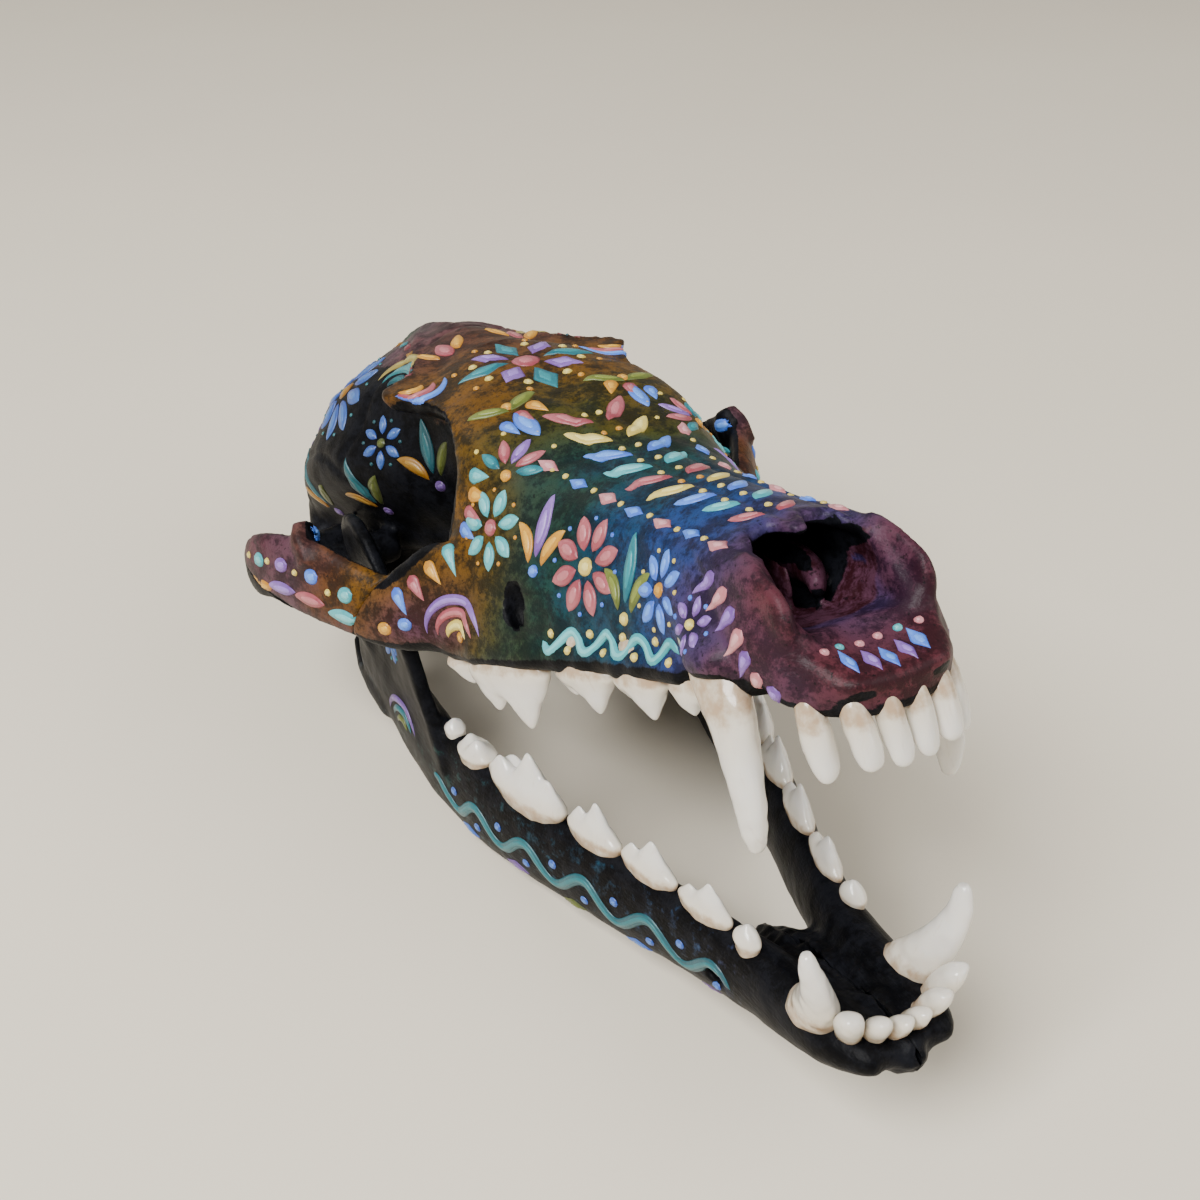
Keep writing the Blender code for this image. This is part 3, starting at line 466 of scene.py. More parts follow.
class Skin:
    """The surface of a bone as arrays in millimetres, for fine relief and for where each paint goes.

    Attributes:
        margin: how far round a path the distances to it are worked out.
        far: the distance that all points farther off are given.
    """

    margin = 4.0
    far = 9.0

    def __init__(self, bone: bpy.types.Object) -> None:
        """Reads the bone's surface.

        Args:
            bone: a bone that hasn't been placed yet.
        """
        self.mesh = bone.data
        count = len(self.mesh.vertices)
        flat = np.empty(count * 3, np.float32)
        self.mesh.vertices.foreach_get("co", flat)
        self.points = flat.reshape(-1, 3).astype(float) / MM
        self.mesh.vertices.foreach_get("normal", flat)
        self.normals = flat.reshape(-1, 3).astype(float)
        lookup = bmesh.new()
        lookup.from_mesh(self.mesh)
        self.tree = BVHTree.FromBMesh(lookup)
        lookup.free()

    @property
    def side(self) -> np.ndarray:
        """How far each point is from the middle plane."""
        return np.abs(self.points[:, 0])

    @property
    def back(self) -> np.ndarray:
        """How far back each point is."""
        return self.points[:, 1]

    @property
    def height(self) -> np.ndarray:
        """How high each point is above the tooth line."""
        return self.points[:, 2]

    def away(self, path: Sequence[Row], steps: int = 24, snap: bool = True) -> np.ndarray:
        """How far each point is from a smooth path or its mirror image.

        Args:
            path: points of (x, s, z).
            steps: how many spans the path gets.
            snap: whether the path is first laid on the surface.

        Returns:
            The distances in millimetres.
        """
        curve = [Vector(point) for point in along(path, steps)]
        if snap:
            curve = [self.tree.find_nearest(point * MM)[0] / MM for point in curve]
        line = np.array([tuple(point) for point in curve])
        folded = self.points * np.array((math.copysign(1.0, line[:, 0].sum() + 1e-9), 1.0, 1.0))
        folded[:, 0] = np.where(np.abs(line[:, 0]).max() < 0.8, folded[:, 0], self.side)
        low, high = line.min(0) - self.margin, line.max(0) + self.margin
        near = np.all((folded > low) & (folded < high), axis=1)
        some = folded[near]
        best = np.full(len(some), self.far)
        for a, b in zip(line, line[1:]):
            run = b - a
            t = np.clip(((some - a) @ run) / max(run @ run, 1e-9), 0.0, 1.0)
            best = np.minimum(best, np.linalg.norm(some - a - t[:, None] * run, axis=1))
        found = np.full(len(folded), self.far)
        found[near] = best
        return found

    def relief(self, path: Sequence[Row], width: float, rise: float, steps: int = 24) -> None:
        """Raises a soft ridge along a path, or sinks a groove.

        Args:
            path: points of (x, s, z) near the surface, on the animal's left.
            width: how wide it is at its foot, in millimetres.
            rise: how high it stands, or less than 0 for a groove.
            steps: how many spans the path gets.
        """
        gap = self.away(path, steps)
        self.points += self.normals * (rise * np.exp(-((gap / width) ** 2)))[:, None]

    def lumps(self, size: float, rise: float, seed: float) -> None:
        """Gives the whole surface soft lumps.

        Args:
            size: how far apart they are, in millimetres.
            rise: how high they stand.
            seed: which pattern they follow.
        """
        shift = Vector((seed, seed * 1.7, seed * 0.3))
        found = [noise.noise(Vector(point) / size + shift) for point in self.points]
        self.points += self.normals * (rise * np.array(found))[:, None]

    def facing(self, centre: Row, radii: Row, limit: float) -> np.ndarray:
        """Where the surface is the wall of a hollow.

        Args:
            centre: the hollow's middle, on the animal's left.
            radii: its half sizes.
            limit: how many times its half sizes the wall may be away.

        Returns:
            1 on the hollow's wall, and 0 elsewhere.
        """
        folded = np.stack([self.side, self.back, self.height], 1)
        inward = np.stack([self.normals[:, 0] * np.sign(self.points[:, 0] + 1e-9), *self.normals.T[1:]], 1)
        towards = np.array(centre) - folded
        reach = np.linalg.norm(towards / np.array(radii), axis=1)
        towards /= np.linalg.norm(towards, axis=1)[:, None] + 1e-9
        seen = smooth_step(-0.1, 0.25, (towards * inward).sum(1))
        return seen * (1.0 - smooth_step(limit - 0.06, limit + 0.04, reach))

    def write(self) -> None:
        """Puts the moved points back on the bone."""
        self.mesh.vertices.foreach_set("co", (self.points * MM).astype(np.float32).ravel())
        self.mesh.update()

    def mark(self, name: str, values: np.ndarray) -> None:
        """Stores a number for each point, which a finish reads by name.

        Args:
            name: the name.
            values: the numbers.
        """
        attribute = self.mesh.attributes.new(name, "FLOAT", "POINT")
        attribute.data.foreach_set("value", np.clip(values, 0.0, 1.0).astype(np.float32))


def settle(piece: bpy.types.Object, stance: Matrix, finish: bpy.types.Material, node: str) -> None:
    """Places a finished piece in the row frame and ties it to the CAD model.

    Args:
        piece: the piece, still in the skull's own frame.
        stance: where it goes.
        finish: its material.
        node: the CAD node that it stands for.
    """
    mesh = piece.data
    mesh.transform(stance)
    for vert in mesh.vertices:
        vert.co.z = max(vert.co.z, 0.0)
    mesh.polygons.foreach_set("use_smooth", [True] * len(mesh.polygons))
    mesh.update()
    mesh.materials.clear()
    mesh.materials.append(finish)
    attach(piece, "root")
    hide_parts(node)
    log.info("%s: %d faces", piece.name, len(mesh.polygons))


class Graph:
    """A short way to lay out a material's nodes."""

    def __init__(self, tree: bpy.types.NodeTree) -> None:
        """Works on a node tree."""
        self.tree = tree

    def add(self, kind: str, **values: object) -> bpy.types.Node:
        """Adds a node.

        Args:
            kind: Blender's name of the node.
            values: its properties, and its inputs by name with _ for a space; a socket is linked.

        Returns:
            The node.
        """
        node = self.tree.nodes.new(kind)
        for name, value in values.items():
            if hasattr(node, name):
                setattr(node, name, value)
            else:
                self.wire(node, **{name: value})
        return node

    def wire(self, node: bpy.types.Node, **values: object) -> None:
        """Links or sets a node's inputs, given by name with _ for a space."""
        for name, value in values.items():
            self.feed(node.inputs[name.replace("_", " ")], value)

    def feed(self, socket: bpy.types.NodeSocket, value: object) -> None:
        """Links or sets an input.

        Args:
            socket: the input.
            value: a socket to link, or a plain value.
        """
        if isinstance(value, bpy.types.NodeSocket):
            self.tree.links.new(value, socket)
        else:
            socket.default_value = value

    def maths(self, operation: str, *values: object, clamp: bool = False) -> bpy.types.NodeSocket:
        """The result of a Math node.

        Args:
            operation: what it does.
            values: its inputs in order.
            clamp: whether the result stays from 0 to 1.

        Returns:
            The result's socket.
        """
        node = self.tree.nodes.new("ShaderNodeMath")
        node.operation = operation
        node.use_clamp = clamp
        for socket, value in zip(node.inputs, values):
            self.feed(socket, value)
        return node.outputs[0]

    def mix(self, share: object, first: object, second: object) -> bpy.types.NodeSocket:
        """The colour between two.

        Args:
            share: how much of the second.
            first: a colour.
            second: a colour.

        Returns:
            The colour's socket.
        """
        node = self.tree.nodes.new("ShaderNodeMix")
        node.data_type = "RGBA"
        for socket, value in zip((node.inputs[0], node.inputs[6], node.inputs[7]), (share, first, second)):
            self.feed(socket, (*value, 1.0) if isinstance(value, tuple) else value)
        return node.outputs[2]

    def ramp(self, share: object, stops: Sequence[tuple]) -> bpy.types.NodeSocket:
        """The colour of a ramp.

        Args:
            share: where to read it.
            stops: rows of a place from 0 to 1 and its colour.

        Returns:
            The colour's socket.
        """
        node = self.tree.nodes.new("ShaderNodeValToRGB")
        self.feed(node.inputs[0], share)
        elements = node.color_ramp.elements
        for place, colour in stops[1:-1]:
            elements.new(place).color = (*colour, 1.0)
        for element, (place, colour) in zip(elements, stops):
            element.position = place
            element.color = (*colour, 1.0)
        return node.outputs[0]

    def window(self, value: object, low: float, high: float, eased: bool = False) -> bpy.types.NodeSocket:
        """How far a value has come from a low one to a high one, from 0 to 1.

        Args:
            value: the value.
            low: what gives 0.
            high: what gives 1.
            eased: whether it eases in and out.

        Returns:
            The share's socket.
        """
        node = self.add("ShaderNodeMapRange", Value=value, From_Min=low, From_Max=high)
        node.interpolation_type = "SMOOTHSTEP" if eased else "LINEAR"
        return node.outputs[0]

    def swing(self, value: object, amount: float) -> bpy.types.NodeSocket:
        """A value from 0 to 1 made to swing about 0 by an amount in all."""
        return self.maths("MULTIPLY", self.maths("SUBTRACT", value, 0.5), amount)

    def weighed(self, *parts: tuple[object, float]) -> bpy.types.NodeSocket:
        """The sum of values, each times its own weight.

        Args:
            parts: rows of a value and its weight.

        Returns:
            The sum's socket.
        """
        total, *others = (self.maths("MULTIPLY", value, weight) for value, weight in parts)
        for other in others:
            total = self.maths("ADD", total, other)
        return total

    def noise(
        self, where: object, scale: object, detail: float = 4.0, rough: float = 0.55
    ) -> bpy.types.NodeSocket:
        """The value of a noise.

        Args:
            where: the coordinates.
            scale: how many times it repeats in a metre.
            detail: how many finer layers it has.
            rough: how strong they are.

        Returns:
            The value's socket.
        """
        node = self.add("ShaderNodeTexNoise", Vector=where, Scale=scale, Detail=detail, Roughness=rough)
        return node.outputs[0]

    def mark(self, name: str) -> bpy.types.NodeSocket:
        """The number that the mesh stores under a name."""
        return self.add("ShaderNodeAttribute", attribute_name=name, attribute_type="GEOMETRY").outputs["Fac"]


class Effects:
    """Node groups that several finishes share, each built once."""

    _made: dict[str, bpy.types.NodeTree] = {}

    @classmethod
    def group(
        cls, name: str, inputs: dict[str, float], outputs: Sequence[str], build: Callable
    ) -> bpy.types.NodeTree:
        """A node group by name.

        Args:
            name: its name.
            inputs: its number inputs with their defaults, after a vector input called Where.
            outputs: its number outputs.
            build: fills it, given the graph, its input node and its output node.

        Returns:
            The group.
        """
        if name in cls._made:
            return cls._made[name]
        tree = bpy.data.node_groups.new(name, "ShaderNodeTree")
        tree.interface.new_socket("Where", in_out="INPUT", socket_type="NodeSocketVector")
        for label, value in inputs.items():
            socket = tree.interface.new_socket(label, in_out="INPUT", socket_type="NodeSocketFloat")
            socket.default_value = value
        for label in outputs:
            tree.interface.new_socket(label, in_out="OUTPUT", socket_type="NodeSocketFloat")
        graph = Graph(tree)
        build(graph, tree.nodes.new("NodeGroupInput"), tree.nodes.new("NodeGroupOutput"))
        cls._made[name] = tree
        return tree

    @classmethod
    def sponge(cls) -> bpy.types.NodeTree:
        """Dabs of a nearly dry sponge: Dabs is where its paint lies, Pores its dark specks.

        Returns:
            The node group.
        """

        def build(graph: Graph, given: bpy.types.Node, out: bpy.types.Node) -> None:
            """Fills the group of the dabs.

            Args:
                graph: the group's graph.
                given: its input node.
                out: its output node.
            """
            size = graph.maths("DIVIDE", 1000.0, given.outputs["Size"])
            broad, fine, dust = (
                graph.noise(given.outputs["Where"], graph.maths("MULTIPLY", size, factor), detail, rough)
                for factor, detail, rough in ((0.35, 5.0, 0.68), (1.6, 4.0, 0.8), (2.2, 3.0, 0.7))
            )
            dabs = graph.window(graph.weighed((broad, 0.62), (fine, 0.38)), 0.44, 0.58, True)
            graph.wire(out, Dabs=dabs, Pores=graph.window(dust, 0.60, 0.68, True))

        return cls.group("sponge_dabs", {"Size": 1.0}, ("Dabs", "Pores"), build)

    @classmethod
    def grain(cls) -> bpy.types.NodeTree:
        """The relief of paint over bone, as a height from 0 to 1.

        Returns:
            The node group.
        """

        def build(graph: Graph, given: bpy.types.Node, out: bpy.types.Node) -> None:
            """Fills the group of the relief.

            Args:
                graph: the group's graph.
                given: its input node.
                out: its output node.
            """
            where = given.outputs["Where"]
            coarse = graph.noise(where, 420.0, 3.0, 0.6)
            fine = graph.noise(where, 2600.0, 3.0, 0.65)
            brushed = graph.add("ShaderNodeMapping", Vector=where, Scale=(3.2, 0.5, 3.2))
            hairs = graph.noise(brushed.outputs[0], 900.0, 2.0, 0.5)
            graph.wire(out, Height=graph.weighed((coarse, 0.5), (fine, 0.22), (hairs, 0.28)))

        return cls.group("paint_grain", {}, ("Height",), build)


def new_material(name: str) -> tuple[bpy.types.Material, Graph, bpy.types.Node]:
    """A fresh material.

    Args:
        name: its name.

    Returns:
        The material, its graph and its Principled shader.
    """
    made = bpy.data.materials.new(name)
    made.use_nodes = True
    return made, Graph(made.node_tree), made.node_tree.nodes["Principled BSDF"]


def own_frame(graph: Graph, stance: Matrix) -> bpy.types.NodeSocket:
    """Coordinates in the skull's own frame, in metres, read from the object's.

    Args:
        graph: the material's graph.
        stance: where the piece was placed.

    Returns:
        The coordinates' socket.
    """
    back = stance.inverted()
    where = graph.add("ShaderNodeTexCoord").outputs["Object"]
    node = graph.add(
        "ShaderNodeMapping", Vector=where, Location=back.to_translation(), Rotation=back.to_euler()
    )
    return node.outputs[0]


class Shade(Enum):
    """The tones of the mottled ground: a dark one and the one that is sponged over it."""

    MAROON = ((0.024, 0.005, 0.008), (0.098, 0.022, 0.031))
    PLUM = ((0.022, 0.008, 0.019), (0.096, 0.036, 0.064))
    VIOLET = ((0.011, 0.008, 0.032), (0.050, 0.038, 0.125))
    BLUE = ((0.003, 0.011, 0.045), (0.011, 0.052, 0.210))
    PETROL = ((0.002, 0.012, 0.026), (0.005, 0.048, 0.094))
    TEAL = ((0.002, 0.011, 0.010), (0.007, 0.045, 0.034))
    OLIVE = ((0.009, 0.011, 0.002), (0.056, 0.054, 0.006))
    BRONZE = ((0.022, 0.011, 0.001), (0.160, 0.068, 0.004))
    UMBER = ((0.026, 0.009, 0.004), (0.122, 0.044, 0.018))
    MAUVE = ((0.026, 0.010, 0.017), (0.112, 0.048, 0.070))
    BLACK = ((0.0020, 0.0021, 0.0028), (0.0065, 0.0070, 0.0095))

    @property
    def under(self) -> Row:
        """The dark tone."""
        return self.value[0]

    @property
    def over(self) -> Row:
        """The tone that is sponged over it."""
        return self.value[1]


CRANIUM_TONES = (
    (0.0, Shade.MAROON),
    (11.0, Shade.PLUM),
    (19.0, Shade.VIOLET),
    (27.0, Shade.BLUE),
    (36.0, Shade.PETROL),
    (46.0, Shade.TEAL),
    (56.0, Shade.OLIVE),
    (70.0, Shade.BRONZE),
    (86.0, Shade.UMBER),
    (104.0, Shade.MAUVE),
    (122.0, Shade.TEAL),
    (150.0, Shade.MAROON),
)
CHEEK_TONES = (
    (0.0, Shade.BRONZE),
    (70.0, Shade.BRONZE),
    (77.0, Shade.UMBER),
    (85.0, Shade.MAUVE),
    (98.0, Shade.MAROON),
    (150.0, Shade.PLUM),
)
JAW_TONES = ((0.0, Shade.VIOLET), (40.0, Shade.PETROL), (80.0, Shade.TEAL), (150.0, Shade.VIOLET))


@dataclass(frozen=True)
class SpongedGround:
    """The satin ground of the painted bone: tones that run into one another, dabbed on with a sponge.

    Attributes:
        name: the material's name.
        tones: rows of a place in millimetres back from the nose and the tone there.
        dab: how large the dabs are, in millimetres.
        roughness: how dull the paint is.
        reach: how far back the tones run, in millimetres.
    """

    name: str
    tones: tuple[tuple[float, Shade], ...]
    dab: float = 1.3
    roughness: float = 0.46
    reach: float = 150.0

    def build(self, stance: Matrix) -> bpy.types.Material:
        """Makes the material.

        Args:
            stance: where its pieces are placed.

        Returns:
            The material.
        """
        made, graph, shader = new_material(self.name)
        where = own_frame(graph, stance)
        place = graph.add("ShaderNodeSeparateXYZ", Vector=where).outputs["Y"]
        back = graph.maths("ADD", place, graph.swing(graph.noise(where, 85.0, 3.0), 0.030))
        share = graph.maths("DIVIDE", back, self.reach * MM, clamp=True)
        under = graph.ramp(share, [(s / self.reach, tone.under) for s, tone in self.tones])
        over = graph.ramp(share, [(s / self.reach, tone.over) for s, tone in self.tones])
        for name, low, high in (("ochre", Shade.BRONZE, Shade.BRONZE), ("plum", Shade.MAROON, Shade.PLUM)):
            mark = graph.mark(name)
            under = graph.mix(mark, under, low.under)
            over = graph.mix(mark, over, high.over)
        sponge = graph.add("ShaderNodeGroup", node_tree=Effects.sponge(), Where=where, Size=self.dab)
        colour = graph.mix(sponge.outputs["Dabs"], under, over)
        cloud = graph.noise(where, 160.0, 4.0)
        colour = graph.mix(graph.maths("MULTIPLY", cloud, 0.55), colour, under)
        colour = graph.mix(graph.maths("MULTIPLY", sponge.outputs["Pores"], 0.75), colour, Shade.BLACK.under)
        # Black where the dark mark says: black paint, and painted shade where the bone lies in shade.
        ragged = graph.swing(graph.noise(where, 520.0, 5.0, 0.7), 1.3)
        dark = graph.window(graph.maths("ADD", graph.mark("dark"), ragged), 0.42, 0.58)
        black = graph.mix(sponge.outputs["Dabs"], Shade.BLACK.under, Shade.BLACK.over)
        grain = graph.add("ShaderNodeGroup", node_tree=Effects.grain(), Where=where)
        bump = graph.add("ShaderNodeBump", Height=grain.outputs[0], Strength=0.55, Distance=0.00035)
        graph.wire(
            shader,
            Base_Color=graph.mix(dark, colour, black),
            Roughness=graph.maths("ADD", graph.swing(cloud, 0.22), self.roughness),
            Normal=bump.outputs[0],
            Specular_IOR_Level=graph.mix(dark, (0.17,) * 3, (0.07,) * 3),
        )
        return made


@dataclass(frozen=True)
class Enamel:
    """Dry fox teeth: ivory enamel with stained necks and hairline cracks.

    Attributes:
        name: the material's name.
        tip: the colour of the crown.
        body: the colour lower down.
        stain: the colour round the neck.
    """

    name: str = "tooth_enamel"
    tip: Row = (0.74, 0.715, 0.665)
    body: Row = (0.69, 0.63, 0.52)
    stain: Row = (0.34, 0.19, 0.075)

    def build(self, stance: Matrix) -> bpy.types.Material:
        """Makes the material.

        Args:
            stance: where its pieces are placed.

        Returns:
            The material.
        """
        made, graph, shader = new_material(self.name)
        where = own_frame(graph, stance)
        neck = graph.mark("neck")
        cloud = graph.noise(where, 520.0, 4.0, 0.6)
        colour = graph.mix(neck, self.tip, self.body)
        stained = graph.window(graph.maths("ADD", neck, graph.swing(cloud, 0.6)), 0.80, 1.10, True)
        colour = graph.mix(graph.maths("MULTIPLY", stained, 0.75), colour, self.stain)
        stretched = graph.add("ShaderNodeMapping", Vector=where, Scale=(1.0, 1.0, 0.12))
        streaks = graph.noise(stretched.outputs[0], 1500.0, 3.0, 0.6)
        lines = graph.maths("MULTIPLY", graph.window(streaks, 0.60, 0.72), 0.13)
        height = graph.weighed((streaks, 0.6), (cloud, 0.4))
        bump = graph.add("ShaderNodeBump", Height=height, Strength=0.35, Distance=0.00018)
        graph.wire(
            shader,
            Base_Color=graph.mix(lines, colour, self.stain),
            Roughness=graph.maths("ADD", graph.maths("MULTIPLY", cloud, 0.14), 0.13),
            Normal=bump.outputs[0],
            Coat_Weight=0.35,
            Coat_Roughness=0.07,
            Subsurface_Weight=0.12,
            Subsurface_Radius=(0.0010, 0.0006, 0.0003),
            Subsurface_Scale=1.0,
        )
        return made


class Tone(Enum):
    """The brush colours, each from where a stroke starts to where it ends."""

    PERIWINKLE = ((0.040, 0.130, 0.640), (0.140, 0.370, 0.950))
    LAVENDER = ((0.150, 0.060, 0.300), (0.350, 0.210, 0.640))
    ROSE = ((0.290, 0.045, 0.065), (0.530, 0.180, 0.200))
    BLUSH = ((0.460, 0.150, 0.170), (0.700, 0.360, 0.380))
    TEAL = ((0.004, 0.110, 0.150), (0.020, 0.270, 0.310))
    AQUA = ((0.020, 0.300, 0.350), (0.190, 0.600, 0.620))
    OLIVE = ((0.080, 0.105, 0.012), (0.230, 0.280, 0.045))
    CREAM = ((0.580, 0.430, 0.070), (0.840, 0.740, 0.250))
    MUSTARD = ((0.470, 0.190, 0.008), (0.760, 0.420, 0.050))

    @property
    def label(self) -> str:
        """The tone's name in small letters."""
        return self.name.lower()


@dataclass(frozen=True)
class BrushColour:
    """Thick satin brush paint that runs from one tone to another along each stroke.

    Attributes:
        tone: the tone.
        tone_and_shade_dim: how much of its brightness is left where it is used, for darker paint and as
            painted shade.
    """

    tone: Tone
    tone_and_shade_dim: float = 1.0

    def build(self, name: str) -> bpy.types.Material:
        """Makes the material.

        Args:
            name: the material's name.

        Returns:
            The material.
        """
        made, graph, shader = new_material(name)
        where = graph.add("ShaderNodeTexCoord").outputs["Object"]
        streaks = graph.noise(where, 1500.0, 3.0, 0.6)
        run = graph.maths("ADD", graph.mark("run"), graph.swing(streaks, 0.7), clamp=True)
        # Colours dimmed for darker paint and as painted shade.
        start, end = (tuple(part * self.tone_and_shade_dim for part in colour) for colour in self.tone.value)
        thin = graph.maths("MULTIPLY", graph.noise(where, 700.0, 3.0), 0.22)
        colour = graph.mix(thin, graph.mix(run, start, end), tuple(part * 0.45 for part in start))
        bump = graph.add("ShaderNodeBump", Height=streaks, Strength=0.4, Distance=0.00015)
        graph.wire(
            shader,
            Base_Color=colour,
            Roughness=0.4,
            Normal=bump.outputs[0],
            Coat_Weight=0.1,
            Coat_Roughness=0.3,
        )
        return made


@dataclass(frozen=True)
class Crown:
    """A cheek tooth.

    Attributes:
        place: where its crown leaves the bone.
        half_length: half its size along the row.
        half_width: half its size across the row.
        turn: the turn of the row there, in degrees.
        height: how tall its main cusp is.
        cusps: rows of (along, across, share of the height, reach), in shares of its half sizes.
    """

    place: Row
    half_length: float
    half_width: float
    turn: float
    height: float
    cusps: tuple[Row, ...]

    def rise(self, forth: float, across: float) -> float:
        """The share of the height at a point of the crown.

        Args:
            forth: how far the point is along the row, in shares of the half length.
            across: how far it is across the row, in shares of the half width.

        Returns:
            The share.
        """
        found = 0.0
        for a, b, share, reach in self.cusps:
            along_gap = abs(forth - a) / reach
            across_gap = abs(across - b) / (reach * 1.5)
            gap = math.sqrt(along_gap**2 + (across_gap * 0.9) ** 2 + 0.014)
            found = max(found, share * max(0.0, 1.08 - gap) ** 1.3)
        wall = 1.0 - min(1.0, math.hypot(forth, across) / 1.04) ** 7
        return (0.23 + 0.86 * found) * wall

    def add(self, clay: Clay, side: int, down: bool, count: int = 26, steps: int = 9) -> None:
        """Models the tooth.

        Args:
            clay: what it is added to.
            side: 1 on the animal's left and -1 on its right.
            down: whether it grows downwards.
            count: how many points a ring has.
            steps: how many rings the crown has.
        """
        grow = -1.0 if down else 1.0
        x, s, z = self.place
        turned = Matrix.Rotation(math.radians(-self.turn * side), 4, "Z")
        sized = Matrix.Diagonal((self.half_width * side, self.half_length, grow, 1.0))
        placed = Matrix.Translation((x * side, s, z)) @ turned @ sized
        angles = [2 * math.pi * i / count for i in range(count)]
        rings = []
        roots = ((0.5, -4.6), (0.76, -2.6), (0.93, -0.9), (1.0, -0.1), (1.06, 0.1 * self.height))
        for scale, depth in roots:
            rings.append([Vector((math.sin(a) * scale, math.cos(a) * scale, depth)) for a in angles])
        for step in range(1, steps + 1):
            share = 1.04 * max(0.03, 1.0 - step / steps) ** 0.8
            ring = []
            for a in angles:
                across, forth = math.sin(a) * share, math.cos(a) * share
                ring.append(Vector((across, forth, self.height * (0.1 + 0.9 * self.rise(forth, across)))))
            rings.append(ring)
        clay.loft([[placed @ point for point in ring] for ring in rings])


@dataclass(frozen=True)
class Peg:
    """A front tooth: a root that widens into a blunt blade.

    Attributes:
        root: the root's end.
        neck: where it leaves the bone.
        tip: its tip.
        half_length: half its size from front to back at the neck.
        half_width: half its size across at the neck.
    """

    root: Row
    neck: Row
    tip: Row
    half_length: float
    half_width: float

    def add(self, clay: Clay, side: int, count: int = 20) -> None:
        """Models the tooth.

        Args:
            clay: what it is added to.
            side: 1 on the animal's left and -1 on its right.
            count: how many points a ring has.
        """
        root, neck, tip = (Vector((p[0] * side, p[1], p[2])) for p in (self.root, self.neck, self.tip))
        rows = [(0.0, 0.5, 0.5), (0.5, 0.78, 0.84), (0.9, 0.84, 0.9), (1.0, 0.88, 0.94), (1.2, 1.02, 1.04)]
        rows += [(1.45, 1.12, 1.06), (1.68, 1.1, 0.96), (1.84, 1.0, 0.78), (1.94, 0.80, 0.54)]
        rows += [(2.0, 0.42, 0.26)]
        rings = []
        for place, wide, deep in rows:
            middle = root.lerp(neck, place) if place <= 1 else neck.lerp(tip, place - 1)
            ring = []
            for i in range(count):
                angle = 2 * math.pi * i / count
                out, fore = math.cos(angle), math.sin(angle)
                lobe = 1.0 + 0.05 * math.cos(3 * angle) * max(0.0, place - 1.0)
                reach = Vector((out * self.half_length * wide, fore * self.half_width * deep, 0.0))
                ring.append(middle + reach * lobe)
            rings.append(ring)
        clay.loft(rings)


@dataclass(frozen=True)
class Fang:
    """A canine tooth.

    Attributes:
        path: points of (x, s, z, half length along the row, half width) from root to tip.
    """

    path: Path

    def add(self, clay: Clay, side: int, count: int = 28, steps: int = 34) -> None:
        """Models the tooth.

        Args:
            clay: what it is added to.
            side: 1 on the animal's left and -1 on its right.
            count: how many points a ring has.
            steps: how many spans its path gets.
        """
        points = [(x * side, *rest) for x, *rest in along(self.path, steps)]
        rings = []
        for i, (x, s, z, long, wide) in enumerate(points):
            run = heading(points, i)
            across = run.cross(Vector((0, 1, 0))).normalized()
            fore = across.cross(run)
            ring = []
            for k in range(count):
                a = 2 * math.pi * k / count
                keel = 1.0 + 0.035 * max(0.0, math.sin(a)) ** 12 + 0.02 * max(0.0, -math.sin(a)) ** 12
                reach = across * (wide * math.cos(a)) + fore * (long * math.sin(a))
                ring.append(Vector((x, s, z)) + reach * keel)
            rings.append(ring)
        clay.loft(rings)


FRONT_TEETH_END = 8.4
FANG_END = 17.0
FANG_TALL = 8.0
CHEEK_TEETH_TALL = 3.2


@dataclass
class Dentition:
    """All the teeth of one jaw.

    Attributes:
        name: the piece's name.
        nodes: the CAD nodes that hold these teeth.
        down: whether they grow downwards.
        line: the height of the tooth line.
        front_shift: how much higher that line is in front.
        front_tall: how tall the front teeth are.
        crowns: the cheek teeth.
        pegs: the front teeth.
        fang: the canine.
    """

    name: str
    nodes: tuple[str, ...]
    down: bool
    line: float
    front_shift: float
    front_tall: float
    crowns: tuple[Crown, ...]
    pegs: tuple[Peg, ...]
    fang: Fang

    def build(self, stance: Matrix, finish: bpy.types.Material) -> bpy.types.Object:
        """Models, dresses and places the teeth.

        Args:
            stance: where they go.
            finish: their material.

        Returns:
            The piece.
        """
        clay = Clay()
        for side in (1, -1):
            self.fang.add(clay, side)
            for crown in self.crowns:
                crown.add(clay, side, self.down)
            for peg in self.pegs:
                peg.add(clay, side)
        piece = clay.piece(self.name)
        rounded = piece.modifiers.new("rounded", "SUBSURF")
        rounded.levels = rounded.render_levels = 1
        apply_modifiers(piece)
        skin = Skin(piece)
        skin.lumps(1.5, 0.13, 3.0)
        skin.write()
        front = skin.back < FRONT_TEETH_END
        line = np.where(front, self.line + self.front_shift, self.line)
        out = (skin.height - line) * (-1.0 if self.down else 1.0)
        tall = np.where(front, self.front_tall, np.where(skin.back < FANG_END, FANG_TALL, CHEEK_TEETH_TALL))
        skin.mark("neck", 1.0 - smooth_step(0.0, 1.0, np.clip(out, 0.0, None) / tall))
        settle(piece, stance, finish, self.nodes[0])
        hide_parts(*self.nodes)
        return piece


